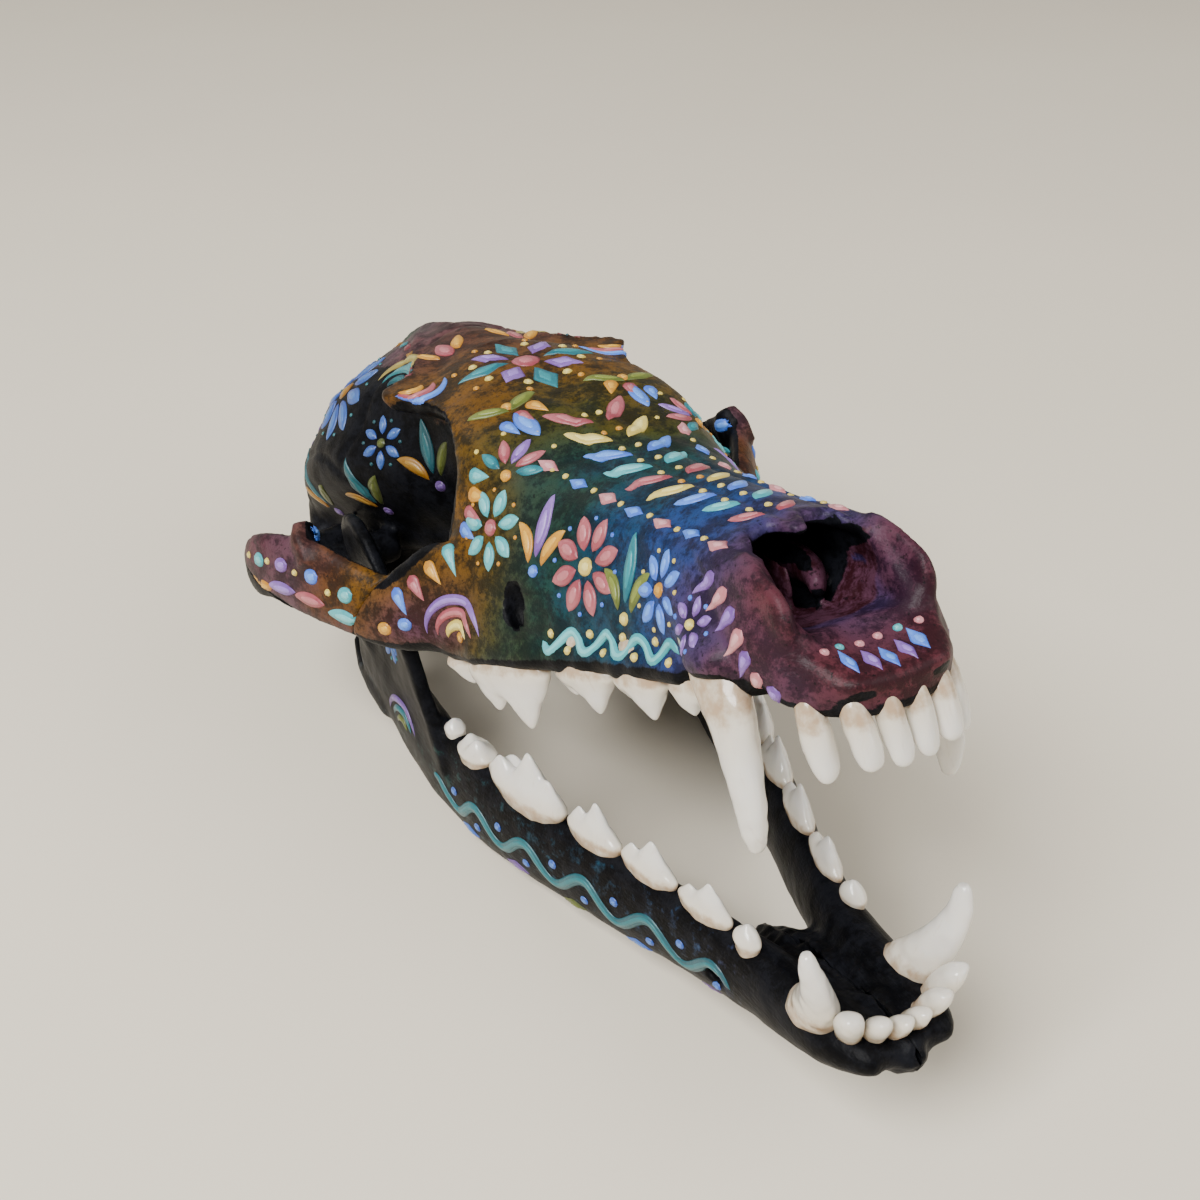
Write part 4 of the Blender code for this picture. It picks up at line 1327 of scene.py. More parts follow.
UPPER_TEETH = Dentition(
    name="upper_teeth",
    nodes=("cranium",),
    down=True,
    line=0.4,
    front_shift=-1.7,
    front_tall=4.6,
    crowns=(
        Crown((10.4, 23.4, 0.2), 2.6, 1.6, 4.0, 3.2, ((-0.2, 0.0, 1.0, 0.9), (0.6, 0.0, 0.3, 0.4))),
        Crown((11.9, 31.2, 0.2), 4.8, 1.8, 8.0, 4.6, ((-0.22, 0.0, 1.0, 0.66), (0.56, 0.0, 0.44, 0.40))),
        Crown((13.9, 41.3, 0.2), 5.2, 2.0, 14.0, 5.1, ((-0.2, 0.0, 1.0, 0.64), (0.54, 0.0, 0.5, 0.42))),
        Crown(
            (18.3, 54.9, 0.2), 7.8, 2.4, 15.0, 7.8,
            ((-0.3, 0.1, 1.0, 0.6), (0.48, 0.1, 0.66, 0.56), (-0.78, 0.0, 0.36, 0.3)),
        ),
        Crown(
            (16.6, 66.0, 0.3), 4.3, 5.6, -6.0, 3.8,
            (
                (-0.4, 0.62, 1.0, 0.5),
                (0.42, 0.58, 0.86, 0.46),
                (-0.2, -0.3, 0.6, 0.42),
                (0.2, -0.72, 0.42, 0.4),
            ),
        ),
        Crown(
            (14.6, 72.8, 0.6), 2.6, 3.9, -10.0, 2.6,
            ((-0.3, 0.55, 1.0, 0.6), (0.45, 0.4, 0.7, 0.5), (0.0, -0.5, 0.6, 0.6)),
        ),
    ),
    pegs=(
        Peg((1.6, 4.6, 2.1), (1.6, 2.2, 0.4), (1.4, 1.2, -6.8), 1.22, 1.35),
        Peg((4.5, 5.6, 2.4), (4.6, 3.1, 0.4), (4.4, 1.4, -6.3), 1.32, 1.42),
        Peg((7.1, 8.0, 3.6), (7.3, 5.8, 0.4), (7.4, 4.4, -7.1), 1.38, 1.5),
    ),
    fang=Fang(
        (
            (9.4, 21.0, 7.0, 2.4, 1.6),
            (10.2, 17.6, 3.6, 3.1, 2.1),
            (10.7, 14.8, 0.4, 3.4, 2.3),
            (11.3, 13.0, -4.4, 2.6, 1.9),
            (11.6, 12.6, -9.6, 2.0, 1.5),
            (11.5, 13.2, -13.4, 1.3, 1.1),
            (11.4, 13.8, -14.6, 0.7, 0.6),
        )
    ),
)

LOWER_TEETH = Dentition(
    name="lower_teeth",
    nodes=JAW_NODES,
    down=False,
    line=-3.0,
    front_shift=0.6,
    front_tall=7.4,
    crowns=(
        Crown((7.0, 21.6, -2.6), 2.0, 1.3, 4.0, 2.2, ((0.0, 0.0, 1.0, 1.0),)),
        Crown((8.2, 28.6, -3.0), 4.2, 1.3, 13.0, 4.2, ((-0.2, 0.0, 1.0, 0.62), (0.6, 0.0, 0.36, 0.34))),
        Crown((10.5, 37.7, -3.0), 4.6, 1.4, 15.0, 4.7, ((-0.16, 0.0, 1.0, 0.6), (0.6, 0.0, 0.42, 0.34))),
        Crown((13.2, 46.7, -3.0), 4.7, 1.55, 15.0, 5.4, ((-0.16, 0.0, 1.0, 0.56), (0.52, 0.0, 0.5, 0.36))),
        Crown(
            (16.7, 58.9, -3.0), 7.6, 2.3, 13.0, 7.2,
            ((-0.2, 0.1, 1.0, 0.5), (-0.68, 0.1, 0.6, 0.4), (0.58, 0.3, 0.42, 0.4), (0.5, -0.5, 0.36, 0.36)),
        ),
        Crown((19.1, 69.9, -2.4), 3.4, 2.2, 12.0, 2.6, ((-0.3, 0.2, 1.0, 0.6), (0.45, -0.1, 0.7, 0.5))),
        Crown((20.1, 75.2, -1.4), 1.7, 1.4, 12.0, 1.6, ((0.0, 0.0, 1.0, 1.0),)),
    ),
    pegs=(
        Peg((1.1, 6.6, -5.4), (1.2, 3.8, -3.2), (1.05, 1.3, 0.7), 0.98, 1.35),
        Peg((2.9, 6.9, -5.4), (3.2, 4.2, -2.9), (3.8, 1.6, 1.6), 1.12, 1.45),
        Peg((4.8, 7.8, -5.2), (5.4, 5.3, -2.6), (6.7, 3.0, 2.5), 1.32, 1.65),
    ),
    fang=Fang(
        (
            (4.8, 15.0, -8.2, 2.2, 1.8),
            (5.6, 11.8, -5.4, 3.0, 2.4),
            (6.3, 9.4, -2.2, 2.9, 2.2),
            (7.5, 7.4, 1.6, 2.25, 1.7),
            (8.8, 6.4, 5.4, 1.6, 1.3),
            (9.4, 6.5, 8.2, 1.0, 0.9),
            (9.5, 6.7, 9.2, 0.5, 0.5),
        )
    ),
)


@dataclass
class Cranium:
    """The upper skull with its two cheek arches, which fine sutures part from it.

    Attributes:
        face: sections of the face and the snout.
        vault: sections of the braincase.
        molar_bone: sections of the bone that holds the rear cheek teeth.
        nose_air: sections of the nose passage.
        nose_notch: the outline (x, s) that opens the nose from above, as one half.
        nose_rim: the rim of the nose.
        fang_bulge: the bulge over the canine's root.
        forehead: the outline of the forehead's sheet.
        tooth_row: the edge of bone along the cheek teeth.
        front_row: the edge of bone along the front teeth.
        arch: the cheek arch.
        arch_point: the point on top of it.
        wing: the thin wing of bone behind the palate.
        nape: the ridge across the back.
        crown: the ridge along the top.
        heel: the bone point behind the ear.
        hinge_lip: the lip behind the jaw's hinge.
        hinge_roof: the bone over it.
        orbit: the eye socket as middle, half sizes and turn.
        cheek_canal: the hole below the eye.
        socket: the jaw hinge's hollow.
        sutures: where the arches part from the skull, and the cuts' lean in degrees.
        side_holes: hollows on both sides, as middle, half sizes and turn.
        middle_holes: hollows in the middle plane.
        nose_scraps: thin bones inside the nose.
        nose_hollow: the space inside the nose whose walls get black painted shade.
        gum_edge: rows of s and the height up to which the tooth line is black.
        cheek_roots: (x, s) of the bulges over the cheek teeth's roots.
        front_roots: the same over the front teeth, as path, width, rise and steps.
        snout_seams: sutures of the snout.
        rear_folds: sutures and ridges farther back.
        voxel: the pitch of the grid that the bone is fused on.
    """

    face: Path = (
        (0.4, (0.8, 4.4), (1.6, 5.0), (2.2, 3.6), 1.9),
        (2.6, (0.3, 6.8), (1.9, 6.8), (3.0, 5.2), 2.6),
        (4.6, (0.2, 8.0), (2.6, 7.7), (4.0, 6.2), 3.5),
        (6.4, (0.2, 8.9), (3.9, 8.6), (6.2, 7.2), 4.4),
        (9.0, (0.2, 10.1), (5.4, 10.0), (11.2, 7.9), 5.8),
        (12.5, (0.2, 10.8), (6.2, 10.7), (13.0, 7.8), 13.9),
        (20.0, (0.3, 11.0), (7.0, 11.0), (14.4, 7.4), 15.9),
        (30.0, (0.3, 11.8), (7.4, 11.6), (16.0, 7.4), 17.9),
        (40.0, (0.3, 13.8), (8.0, 13.6), (18.0, 8.0), 20.0),
        (48.0, (0.3, 17.4), (8.6, 16.5), (20.4, 9.4), 22.6),
        (55.0, (0.3, 20.4), (9.6, 18.6), (23.8, 11.6), 25.8),
        (62.0, (0.5, 21.4), (10.6, 19.8), (27.4, 13.0), 29.4),
        (70.0, (0.8, 19.8), (11.0, 18.0), (30.4, 13.6), 33.0),
    )
    vault: Path = (
        (56.0, (9.0, 6.0), (17.0, 9.0), (24.0, 10.4), 26.0),
        (64.0, (8.5, 7.0), (18.0, 9.4), (28.0, 11.8), 30.2),
        (72.0, (9.0, 6.6), (19.0, 8.6), (31.0, 12.4), 34.0),
        (80.0, (9.6, 6.8), (20.0, 8.8), (33.0, 12.4), 36.6),
        (88.0, (9.8, 8.0), (21.0, 10.8), (34.0, 10.4), 38.4),
        (95.0, (9.8, 10.5), (22.0, 16.4), (35.0, 11.8), 40.2),
        (103.0, (9.6, 13.5), (23.0, 21.0), (36.0, 13.6), 41.4),
        (112.0, (9.5, 16.0), (23.6, 23.2), (36.0, 14.4), 41.4),
        (120.0, (9.5, 18.0), (23.0, 23.2), (35.0, 14.0), 40.2),
        (127.0, (9.4, 18.6), (20.6, 22.2), (33.2, 13.0), 38.4),
        (133.0, (9.0, 16.6), (18.6, 20.4), (31.4, 11.6), 36.6),
        (138.0, (8.6, 12.6), (17.6, 16.6), (30.2, 9.6), 35.2),
        (141.6, (9.0, 8.6), (17.0, 11.8), (28.8, 7.4), 33.6),
        (143.6, (10.4, 5.6), (17.6, 8.0), (27.0, 5.2), 31.6),
    )
    molar_bone: Path = (
        (58.0, (0.3, 19.6), (3.0, 20.2), (7.0, 16.6), 8.6),
        (68.0, (0.5, 20.4), (3.2, 20.6), (7.2, 16.2), 8.8),
        (74.0, (0.7, 17.8), (3.4, 18.2), (6.8, 14.4), 8.4),
        (77.4, (1.4, 13.8), (3.6, 14.8), (6.2, 12.0), 7.4),
    )
    nose_air: Path = (
        (4.0, (5.6, 3.0), (8.4, 5.2), (12.6, 4.8), 14.6),
        (8.0, (5.6, 3.4), (8.4, 5.4), (12.2, 4.9), 13.8),
        (10.0, (5.4, 3.8), (8.6, 5.7), (12.0, 5.0), 13.2),
        (14.0, (5.1, 4.4), (8.6, 6.6), (12.4, 5.5), 13.4),
        (20.0, (5.2, 4.6), (9.0, 6.6), (13.4, 5.0), 14.6),
        (28.0, (5.8, 3.4), (9.6, 5.2), (13.6, 3.6), 14.8),
        (36.0, (7.4, 2.0), (9.8, 3.0), (12.2, 1.8), 12.8),
    )
    nose_notch: Path = (
        (5.5, -6.0),
        (5.7, 9.8),
        (5.3, 11.6),
        (5.5, 13.0),
        (4.8, 14.2),
        (4.2, 15.9),
        (3.2, 15.6),
        (2.2, 16.3),
        (1.3, 14.9),
        (0.8, 12.9),
        (0.3, 13.4),
        (0.0, 12.8),
    )
    nose_rim: Path = (
        (7.0, 13.0, 13.0, 1.4, 1.1),
        (7.5, 9.8, 11.4, 1.5, 1.0),
        (7.8, 7.0, 9.6, 1.5, 1.0),
        (7.8, 5.9, 8.0, 1.4, 1.0),
        (7.4, 6.8, 6.0, 1.3, 1.1),
        (6.6, 7.2, 4.6, 1.2, 1.3),
    )
    fang_bulge: Path = (
        (10.4, 15.8, 3.2, 2.6, 2.2),
        (9.9, 18.4, 5.6, 2.8, 2.2),
        (9.0, 22.0, 8.6, 2.4, 1.9),
        (8.0, 26.0, 11.2, 1.6, 1.4),
    )
    forehead: Path = (
        (0.0, 58.0, 27.0),
        (11.2, 60.0, 26.2),
        (13.2, 66.0, 28.4),
        (14.6, 73.0, 31.4),
        (16.6, 78.6, 33.6),
        (18.7, 81.9, 33.9),
        (17.4, 83.6, 34.2),
        (13.0, 85.6, 35.6),
        (9.6, 92.0, 37.6),
        (0.0, 97.0, 39.4),
    )
    tooth_row: Path = (
        (10.9, 21.6, 1.7, 1.5, 1.5),
        (11.9, 31.4, 1.7, 1.7, 1.9),
        (13.8, 41.2, 1.8, 1.8, 2.1),
        (17.4, 51.0, 1.8, 1.8, 2.5),
        (19.5, 59.0, 1.8, 1.8, 2.5),
        (19.9, 67.0, 1.9, 1.7, 2.2),
    )
    front_row: Path = (
        (7.0, 6.6, 1.2, 1.4, 1.3),
        (6.4, 4.9, 0.2, 1.5, 1.4),
        (4.2, 3.1, -0.5, 1.4, 1.4),
        (1.4, 2.1, -0.7, 1.4, 1.4),
        (-1.4, 2.1, -0.7, 1.4, 1.4),
        (-4.2, 3.1, -0.5, 1.4, 1.4),
        (-6.4, 4.9, 0.2, 1.5, 1.4),
        (-7.0, 6.6, 1.2, 1.4, 1.3),
    )
    arch: Path = (
        (15.0, 57.0, 7.4, 7.0, 3.0),
        (20.4, 64.5, 8.0, 7.4, 2.9),
        (23.6, 68.4, 7.5, 6.0, 2.7),
        (26.4, 72.0, 7.3, 4.9, 2.4),
        (30.0, 77.0, 10.0, 5.1, 1.9),
        (33.2, 82.5, 12.9, 5.6, 1.7),
        (36.4, 90.0, 14.9, 4.8, 1.6),
        (37.3, 96.5, 14.5, 4.0, 1.6),
        (35.0, 103.0, 13.6, 3.3, 2.0),
        (28.6, 109.0, 12.8, 3.0, 3.0),
        (19.0, 112.0, 13.0, 3.2, 4.0),
    )
    arch_point: Path = (
        (32.8, 82.0, 14.6, 3.4, 1.9),
        (32.6, 82.6, 17.6, 2.8, 1.7),
        (32.2, 83.0, 20.4, 1.5, 1.2),
    )
    wing: Path = (
        (8.6, 72.0, 4.6, 4.6, 1.2),
        (7.4, 80.0, 6.0, 4.4, 1.0),
        (6.8, 88.0, 6.4, 4.6, 0.9),
        (6.6, 94.0, 6.8, 4.0, 0.8),
        (6.6, 99.0, 5.0, 1.6, 0.8),
    )
    nape: Path = (
        (0.0, 143.4, 34.6, 2.0, 2.2),
        (5.6, 142.4, 32.6, 2.0, 2.2),
        (10.6, 139.6, 28.6, 2.0, 2.2),
        (15.4, 135.8, 23.4, 2.0, 2.4),
        (19.2, 131.0, 17.6, 2.2, 2.6),
        (20.8, 126.0, 12.6, 2.4, 2.8),
    )
    crown: Path = (
        (0.0, 100.0, 40.6, 0.8, 1.2),
        (0.0, 112.0, 41.6, 1.0, 1.2),
        (0.0, 124.0, 40.2, 1.4, 1.2),
        (0.0, 134.0, 37.8, 1.8, 1.2),
        (0.0, 143.4, 35.0, 1.8, 1.4),
    )
    heel: Path = (
        (15.6, 128.6, 15.0, 4.0, 4.0),
        (17.8, 131.4, 8.4, 3.4, 2.8),
        (19.4, 133.6, 3.0, 2.4, 2.1),
        (20.2, 135.2, -2.6, 1.5, 1.4),
    )
    hinge_lip: Path = (
        (18.0, 110.6, 4.4, 2.0, 1.3),
        (23.0, 111.2, 4.0, 2.4, 1.4),
        (28.0, 110.6, 5.2, 1.8, 1.2),
    )
    hinge_roof: Path = (
        (15.0, 106.6, 11.4, 2.6, 3.6),
        (22.0, 106.6, 11.2, 2.4, 4.0),
        (29.0, 106.8, 12.0, 2.2, 3.2),
    )
    orbit: tuple[Row, Row, Row] = ((26.4, 75.4, 22.4), (17.0, 14.0, 11.8), (-6.0, 0.0, 12.0))
    cheek_canal: tuple[Row, Row, Row] = ((16.8, 50.2, 7.2), (1.9, 1.6, 3.3), (0.0, 12.0, 30.0))
    socket: tuple[Row, Row] = ((23.4, 107.0, 6.0), (7.75, 3.55, 3.25))
    sutures: tuple[tuple[Row, float], ...] = (((28.6, 73.6, 8.4), 40.0), ((36.4, 94.0, 14.6), -54.0))
    side_holes: tuple[tuple[Row, ...], ...] = (
        ((2.7, 9.8, 0.6), (1.2, 4.4, 2.6)),
        ((12.4, 14.2, -0.7), (3.8, 4.4, 3.2), (8, 0, 0)),
        ((9.4, 9.7, -1.2), (3.0, 2.2, 3.2)),
        ((22.6, 119.0, 11.0), (5.0, 2.2, 2.2)),
        ((10.6, 76.6, 16.0), (4.0, 1.7, 1.7)),
        ((10.2, 83.0, 12.6), (3.0, 1.5, 1.3)),
    )
    middle_holes: tuple[tuple[Row, Row], ...] = (
        ((0.0, 42.0, -4.6), (9.6, 34.0, 6.6)),
        ((0.0, 80.0, 4.6), (5.4, 16.0, 4.2)),
        ((0.0, 145.0, 15.0), (6.2, 9.0, 5.6)),
    )
    nose_scraps: tuple[Path, ...] = (
        ((0.0, 17.5, 7.2, 2.6, 0.5), (0.2, 24.0, 8.4, 3.6, 0.5), (0.0, 33.0, 9.6, 4.6, 0.6)),
        ((2.2, 16.2, 7.0, 1.3, 0.8), (3.6, 19.0, 8.4, 1.8, 1.2), (4.0, 25.0, 9.6, 2.4, 1.4)),
        ((-2.6, 18.2, 8.4, 1.1, 0.7), (-3.4, 21.0, 9.2, 1.6, 1.1), (-3.8, 27.0, 9.8, 2.2, 1.4)),
    )
    nose_hollow: tuple[Row, Row] = ((0.0, 19.0, 9.6), (8.6, 30.0, 6.4))
    gum_edge: Path = (
        (0.0, -1.9),
        (5.0, -1.0),
        (9.0, 1.6),
        (15.0, 2.0),
        (19.0, 1.3),
        (50.0, 0.9),
        (80.0, 0.0),
    )
    cheek_roots: tuple[Row, ...] = (
        (11.6, 30.0),
        (12.8, 33.4),
        (13.4, 39.6),
        (14.6, 43.8),
        (16.6, 51.0),
        (19.4, 58.6),
        (20.4, 65.0),
    )
    front_roots: tuple[Fold, ...] = (
        (((7.6, 7.0, 1.6), (7.4, 8.4, 5.4)), 1.5, 0.4, 5),
        (((4.6, 4.0, 1.4), (4.4, 4.8, 3.6)), 1.2, 0.3, 5),
        (((1.6, 2.6, 1.4), (1.6, 3.4, 3.2)), 1.0, 0.25, 5),
    )
    snout_seams: tuple[Fold, ...] = (
        (
            (
                (5.9, 12.0, 13.4),
                (6.3, 18.0, 15.0),
                (6.0, 28.0, 16.8),
                (5.2, 38.0, 18.8),
                (4.2, 47.0, 21.6),
                (2.6, 56.0, 25.2),
                (0.4, 61.0, 28.0),
            ),
            0.60,
            -0.34,
            70,
        ),
        (
            ((9.8, 10.4, 2.0), (9.9, 13.4, 7.0), (8.9, 18.0, 11.8), (7.2, 25.0, 15.4), (6.0, 32.0, 17.4)),
            0.55,
            -0.26,
            50,
        ),
        (((5.0, 49.0, 22.4), (9.0, 51.0, 21.6), (12.4, 54.6, 21.0), (15.4, 58.6, 20.6)), 0.55, -0.24, 40),
    )
    rear_folds: tuple[Fold, ...] = (
        (
            ((18.6, 100.0, 20.0), (22.6, 108.0, 27.0), (22.0, 118.0, 26.0), (20.0, 127.0, 19.0)),
            0.55,
            -0.26,
            50,
        ),
        (
            (
                (17.6, 83.4, 34.6),
                (12.0, 91.0, 37.8),
                (7.4, 99.0, 40.4),
                (3.4, 108.0, 41.6),
                (1.4, 120.0, 41.0),
            ),
            1.0,
            0.42,
            50,
        ),
        (((16.4, 62.0, 22.6), (19.6, 66.4, 15.6), (23.6, 71.0, 12.2)), 1.1, 0.3, 24),
        (((7.0, 7.4, 5.2), (6.8, 5.6, 4.2), (6.0, 3.8, 3.0)), 1.2, 0.5, 16),
        (((0.0, 62.0, 29.6), (0.0, 70.0, 33.2), (0.0, 80.0, 36.6)), 3.2, -0.7, 24),
    )
    voxel: float = 0.55

    def solid(self) -> bpy.types.Object:
        """The head's main masses, fused and hollowed.

        Returns:
            The head as one bone.
        """
        clay = Clay().sections(self.face, 60, 52).sections(self.vault, 64, 52)
        clay.sections(self.molar_bone, 14).roof(self.forehead, 3.0)
        clay.tubes(self.wing).tubes(self.nape).tubes(self.heel, 14).tubes(self.hinge_lip, 10)
        clay.tubes(self.hinge_roof, 10).tube(self.crown).tubes(self.nose_rim, 20).tubes(self.fang_bulge, 16)
        clay.eggs((10.7, 15.6, 4.2), (2.8, 4.0, 2.4)).tubes(self.tooth_row, 30).tube(self.front_row, 40)
        clay.eggs((14.4, 120.5, 8.6), (6.4, 9.6, 6.4), (0, 0, 14))
        clay.eggs((6.6, 142.0, 10.2), (4.4, 4.6, 5.2), (0, 0, -18))
        head = fuse(clay.piece("head"), self.voxel, 7)
        outline = list(self.nose_notch) + mirrored(self.nose_notch[-2::-1])
        cutters = [Clay().sections(self.nose_air, 30, 32)]
        cutters.append(Clay().prism([Vector((x, s, 5.6)) for x, s in outline], Vector((0, 0, 18.4))))
        cutters += [Clay().eggs(*hole) for hole in (self.orbit, self.cheek_canal, *self.side_holes)]
        cutters += [Clay().egg(*hole) for hole in self.middle_holes]
        cut(head, cutters)
        return head

    def shape(self) -> list[bpy.types.Object]:
        """The cranium and the two arches as bare bones.

        Returns:
            The cranium, then the left and the right arch.
        """
        head = self.solid()
        clay = Clay().tubes(self.arch, 44, 22).tubes(self.arch_point, 8)
        for scrap in self.nose_scraps:
            clay.tube(scrap, 14, 12)
        more = clay.piece("arches")
        joined = bmesh.new()
        for part in (head, more):
            joined.from_mesh(part.data)
        joined.to_mesh(head.data)
        joined.free()
        bpy.data.objects.remove(more)
        fuse(head, self.voxel, 3)
        cutters = [Clay().eggs(*self.socket)]
        for place, lean in self.sutures:
            for side in (1, -1):
                blade = Clay()
                turned = Matrix.Rotation(math.radians(lean), 4, "X") @ Matrix.Diagonal((16.0, 0.3, 26.0, 1.0))
                middle = Matrix.Translation((place[0] * side, *place[1:]))
                bmesh.ops.create_cube(blade.shape, size=1.0, matrix=middle @ turned)
                cutters.append(blade)
        cut(head, cutters)
        return split(head, ("cranium_bone", "cheek_arch_left", "cheek_arch_right"))

    def relief(self, skin: Skin) -> None:
        """Carves sutures, ridges and the bulges over the roots.

        Args:
            skin: the cranium's surface.
        """
        for x, s in self.cheek_roots:
            skin.relief(((x, s, 1.4), (x - 0.6, s, 5.4)), 1.3, 0.34, 4)
        crest = [(row[0], row[4]) for row in self.face]
        backs = [15.0 + 2.1 * k for k in range(22)]
        nasal = [(0.22 * math.sin(2.1 * k) * 0.6, s, spline(crest, s)[1]) for k, s in enumerate(backs)]
        crown = []
        for k in range(9):
            crown.append((2.4 * k, 97.0 + 0.7 * math.sin(2.6 * k) + 0.10 * k * k, 41.0 - 0.26 * k * k))
        seams = ((nasal, 0.62, -0.42, 80), *self.snout_seams, (crown, 0.55, -0.26, 60))
        for fold in (*self.front_roots, *seams, *self.rear_folds):
            skin.relief(*fold)
        skin.lumps(9.0, 0.20, 1.0)
        skin.lumps(2.6, 0.10, 2.0)

    def paint_marks(self, skin: Skin) -> None:
        """Says where the ground is black, ochre or plum: black paint along the tooth line, and black as
        painted shade in the hollows, behind the eye socket, under the bone and at the back of the skull.

        Args:
            skin: the cranium's surface.
        """
        side, back, high = skin.side, skin.back, skin.height
        down = smooth_step(0.25, 0.6, -skin.normals[:, 2])
        # Painted shade: black on the walls of the eye socket, the nose hollow and the canal below the eye.
        dark = skin.facing(*self.orbit[:2], 1.08)
        start = lerp(15.0, 7.4, smooth_step(9.6, 12.4, high))
        nose = skin.facing(*self.nose_hollow, 1.2) * smooth_step(0.0, 3.2, back - start)
        scraps = skin.away(((0.0, 17.5, 7.2), (0.0, 26.0, 8.6)), 8, snap=False) < 2.9
        dark = np.maximum(dark, nose * (back < 45.0) * (1.0 - 0.75 * scraps))
        dark = np.maximum(dark, skin.facing(*self.cheek_canal[:2], 1.3))
        # Painted shade: black on the braincase behind the eye socket.
        angle = np.degrees(np.arctan2(side, high - 20.0))
        temple = smooth_step(82.0, 90.0, back) * smooth_step(28.0, 38.0, angle)
        dark = np.maximum(dark, temple)
        wall = smooth_step(66.0, 70.0, back) * (1.0 - smooth_step(18.0, 20.5, side))
        wall *= (1.0 - smooth_step(27.0, 29.5, high)) * smooth_step(4.0, 8.0, side) * (back < 92.0)
        dark = np.maximum(dark, wall)
        # Painted shade: black where the bone faces down, low on the skull.
        dark = np.maximum(dark, down * (high < 14.0))
        # Black paint along the tooth line.
        edge = np.interp(back, *zip(*self.gum_edge))
        dark = np.maximum(dark, (1.0 - smooth_step(0.1, 1.9, high - edge)) * (back < 80.0))
        # Painted shade: the back of the skull is darker.
        dark = np.maximum(dark, smooth_step(128.0, 134.0, back) * 0.6)
        skin.mark("dark", dark)
        rim = np.exp(-(((back - 63.0) / 9.0) ** 2) - ((high - 16.0) / 9.5) ** 2)
        rim = rim * smooth_step(8.0, 15.0, side)
        brow = np.exp(-(((back - 74.0) / 11.0) ** 2)) * smooth_step(24.0, 30.0, high)
        brow = brow * smooth_step(3.0, 10.0, side)
        skin.mark("ochre", np.maximum(rim * 1.1, brow * 0.8))
        cheek = np.exp(-(((back - 66.0) / 7.0) ** 2) - ((high - 5.5) / 4.5) ** 2)
        cheek = cheek * smooth_step(14.0, 19.0, side)
        inside = (side < 6.6) & (back > 11.0) & (back < 36.0) & (high > 4.0) & (high < 12.6)
        skin.mark("plum", np.maximum(cheek, inside))


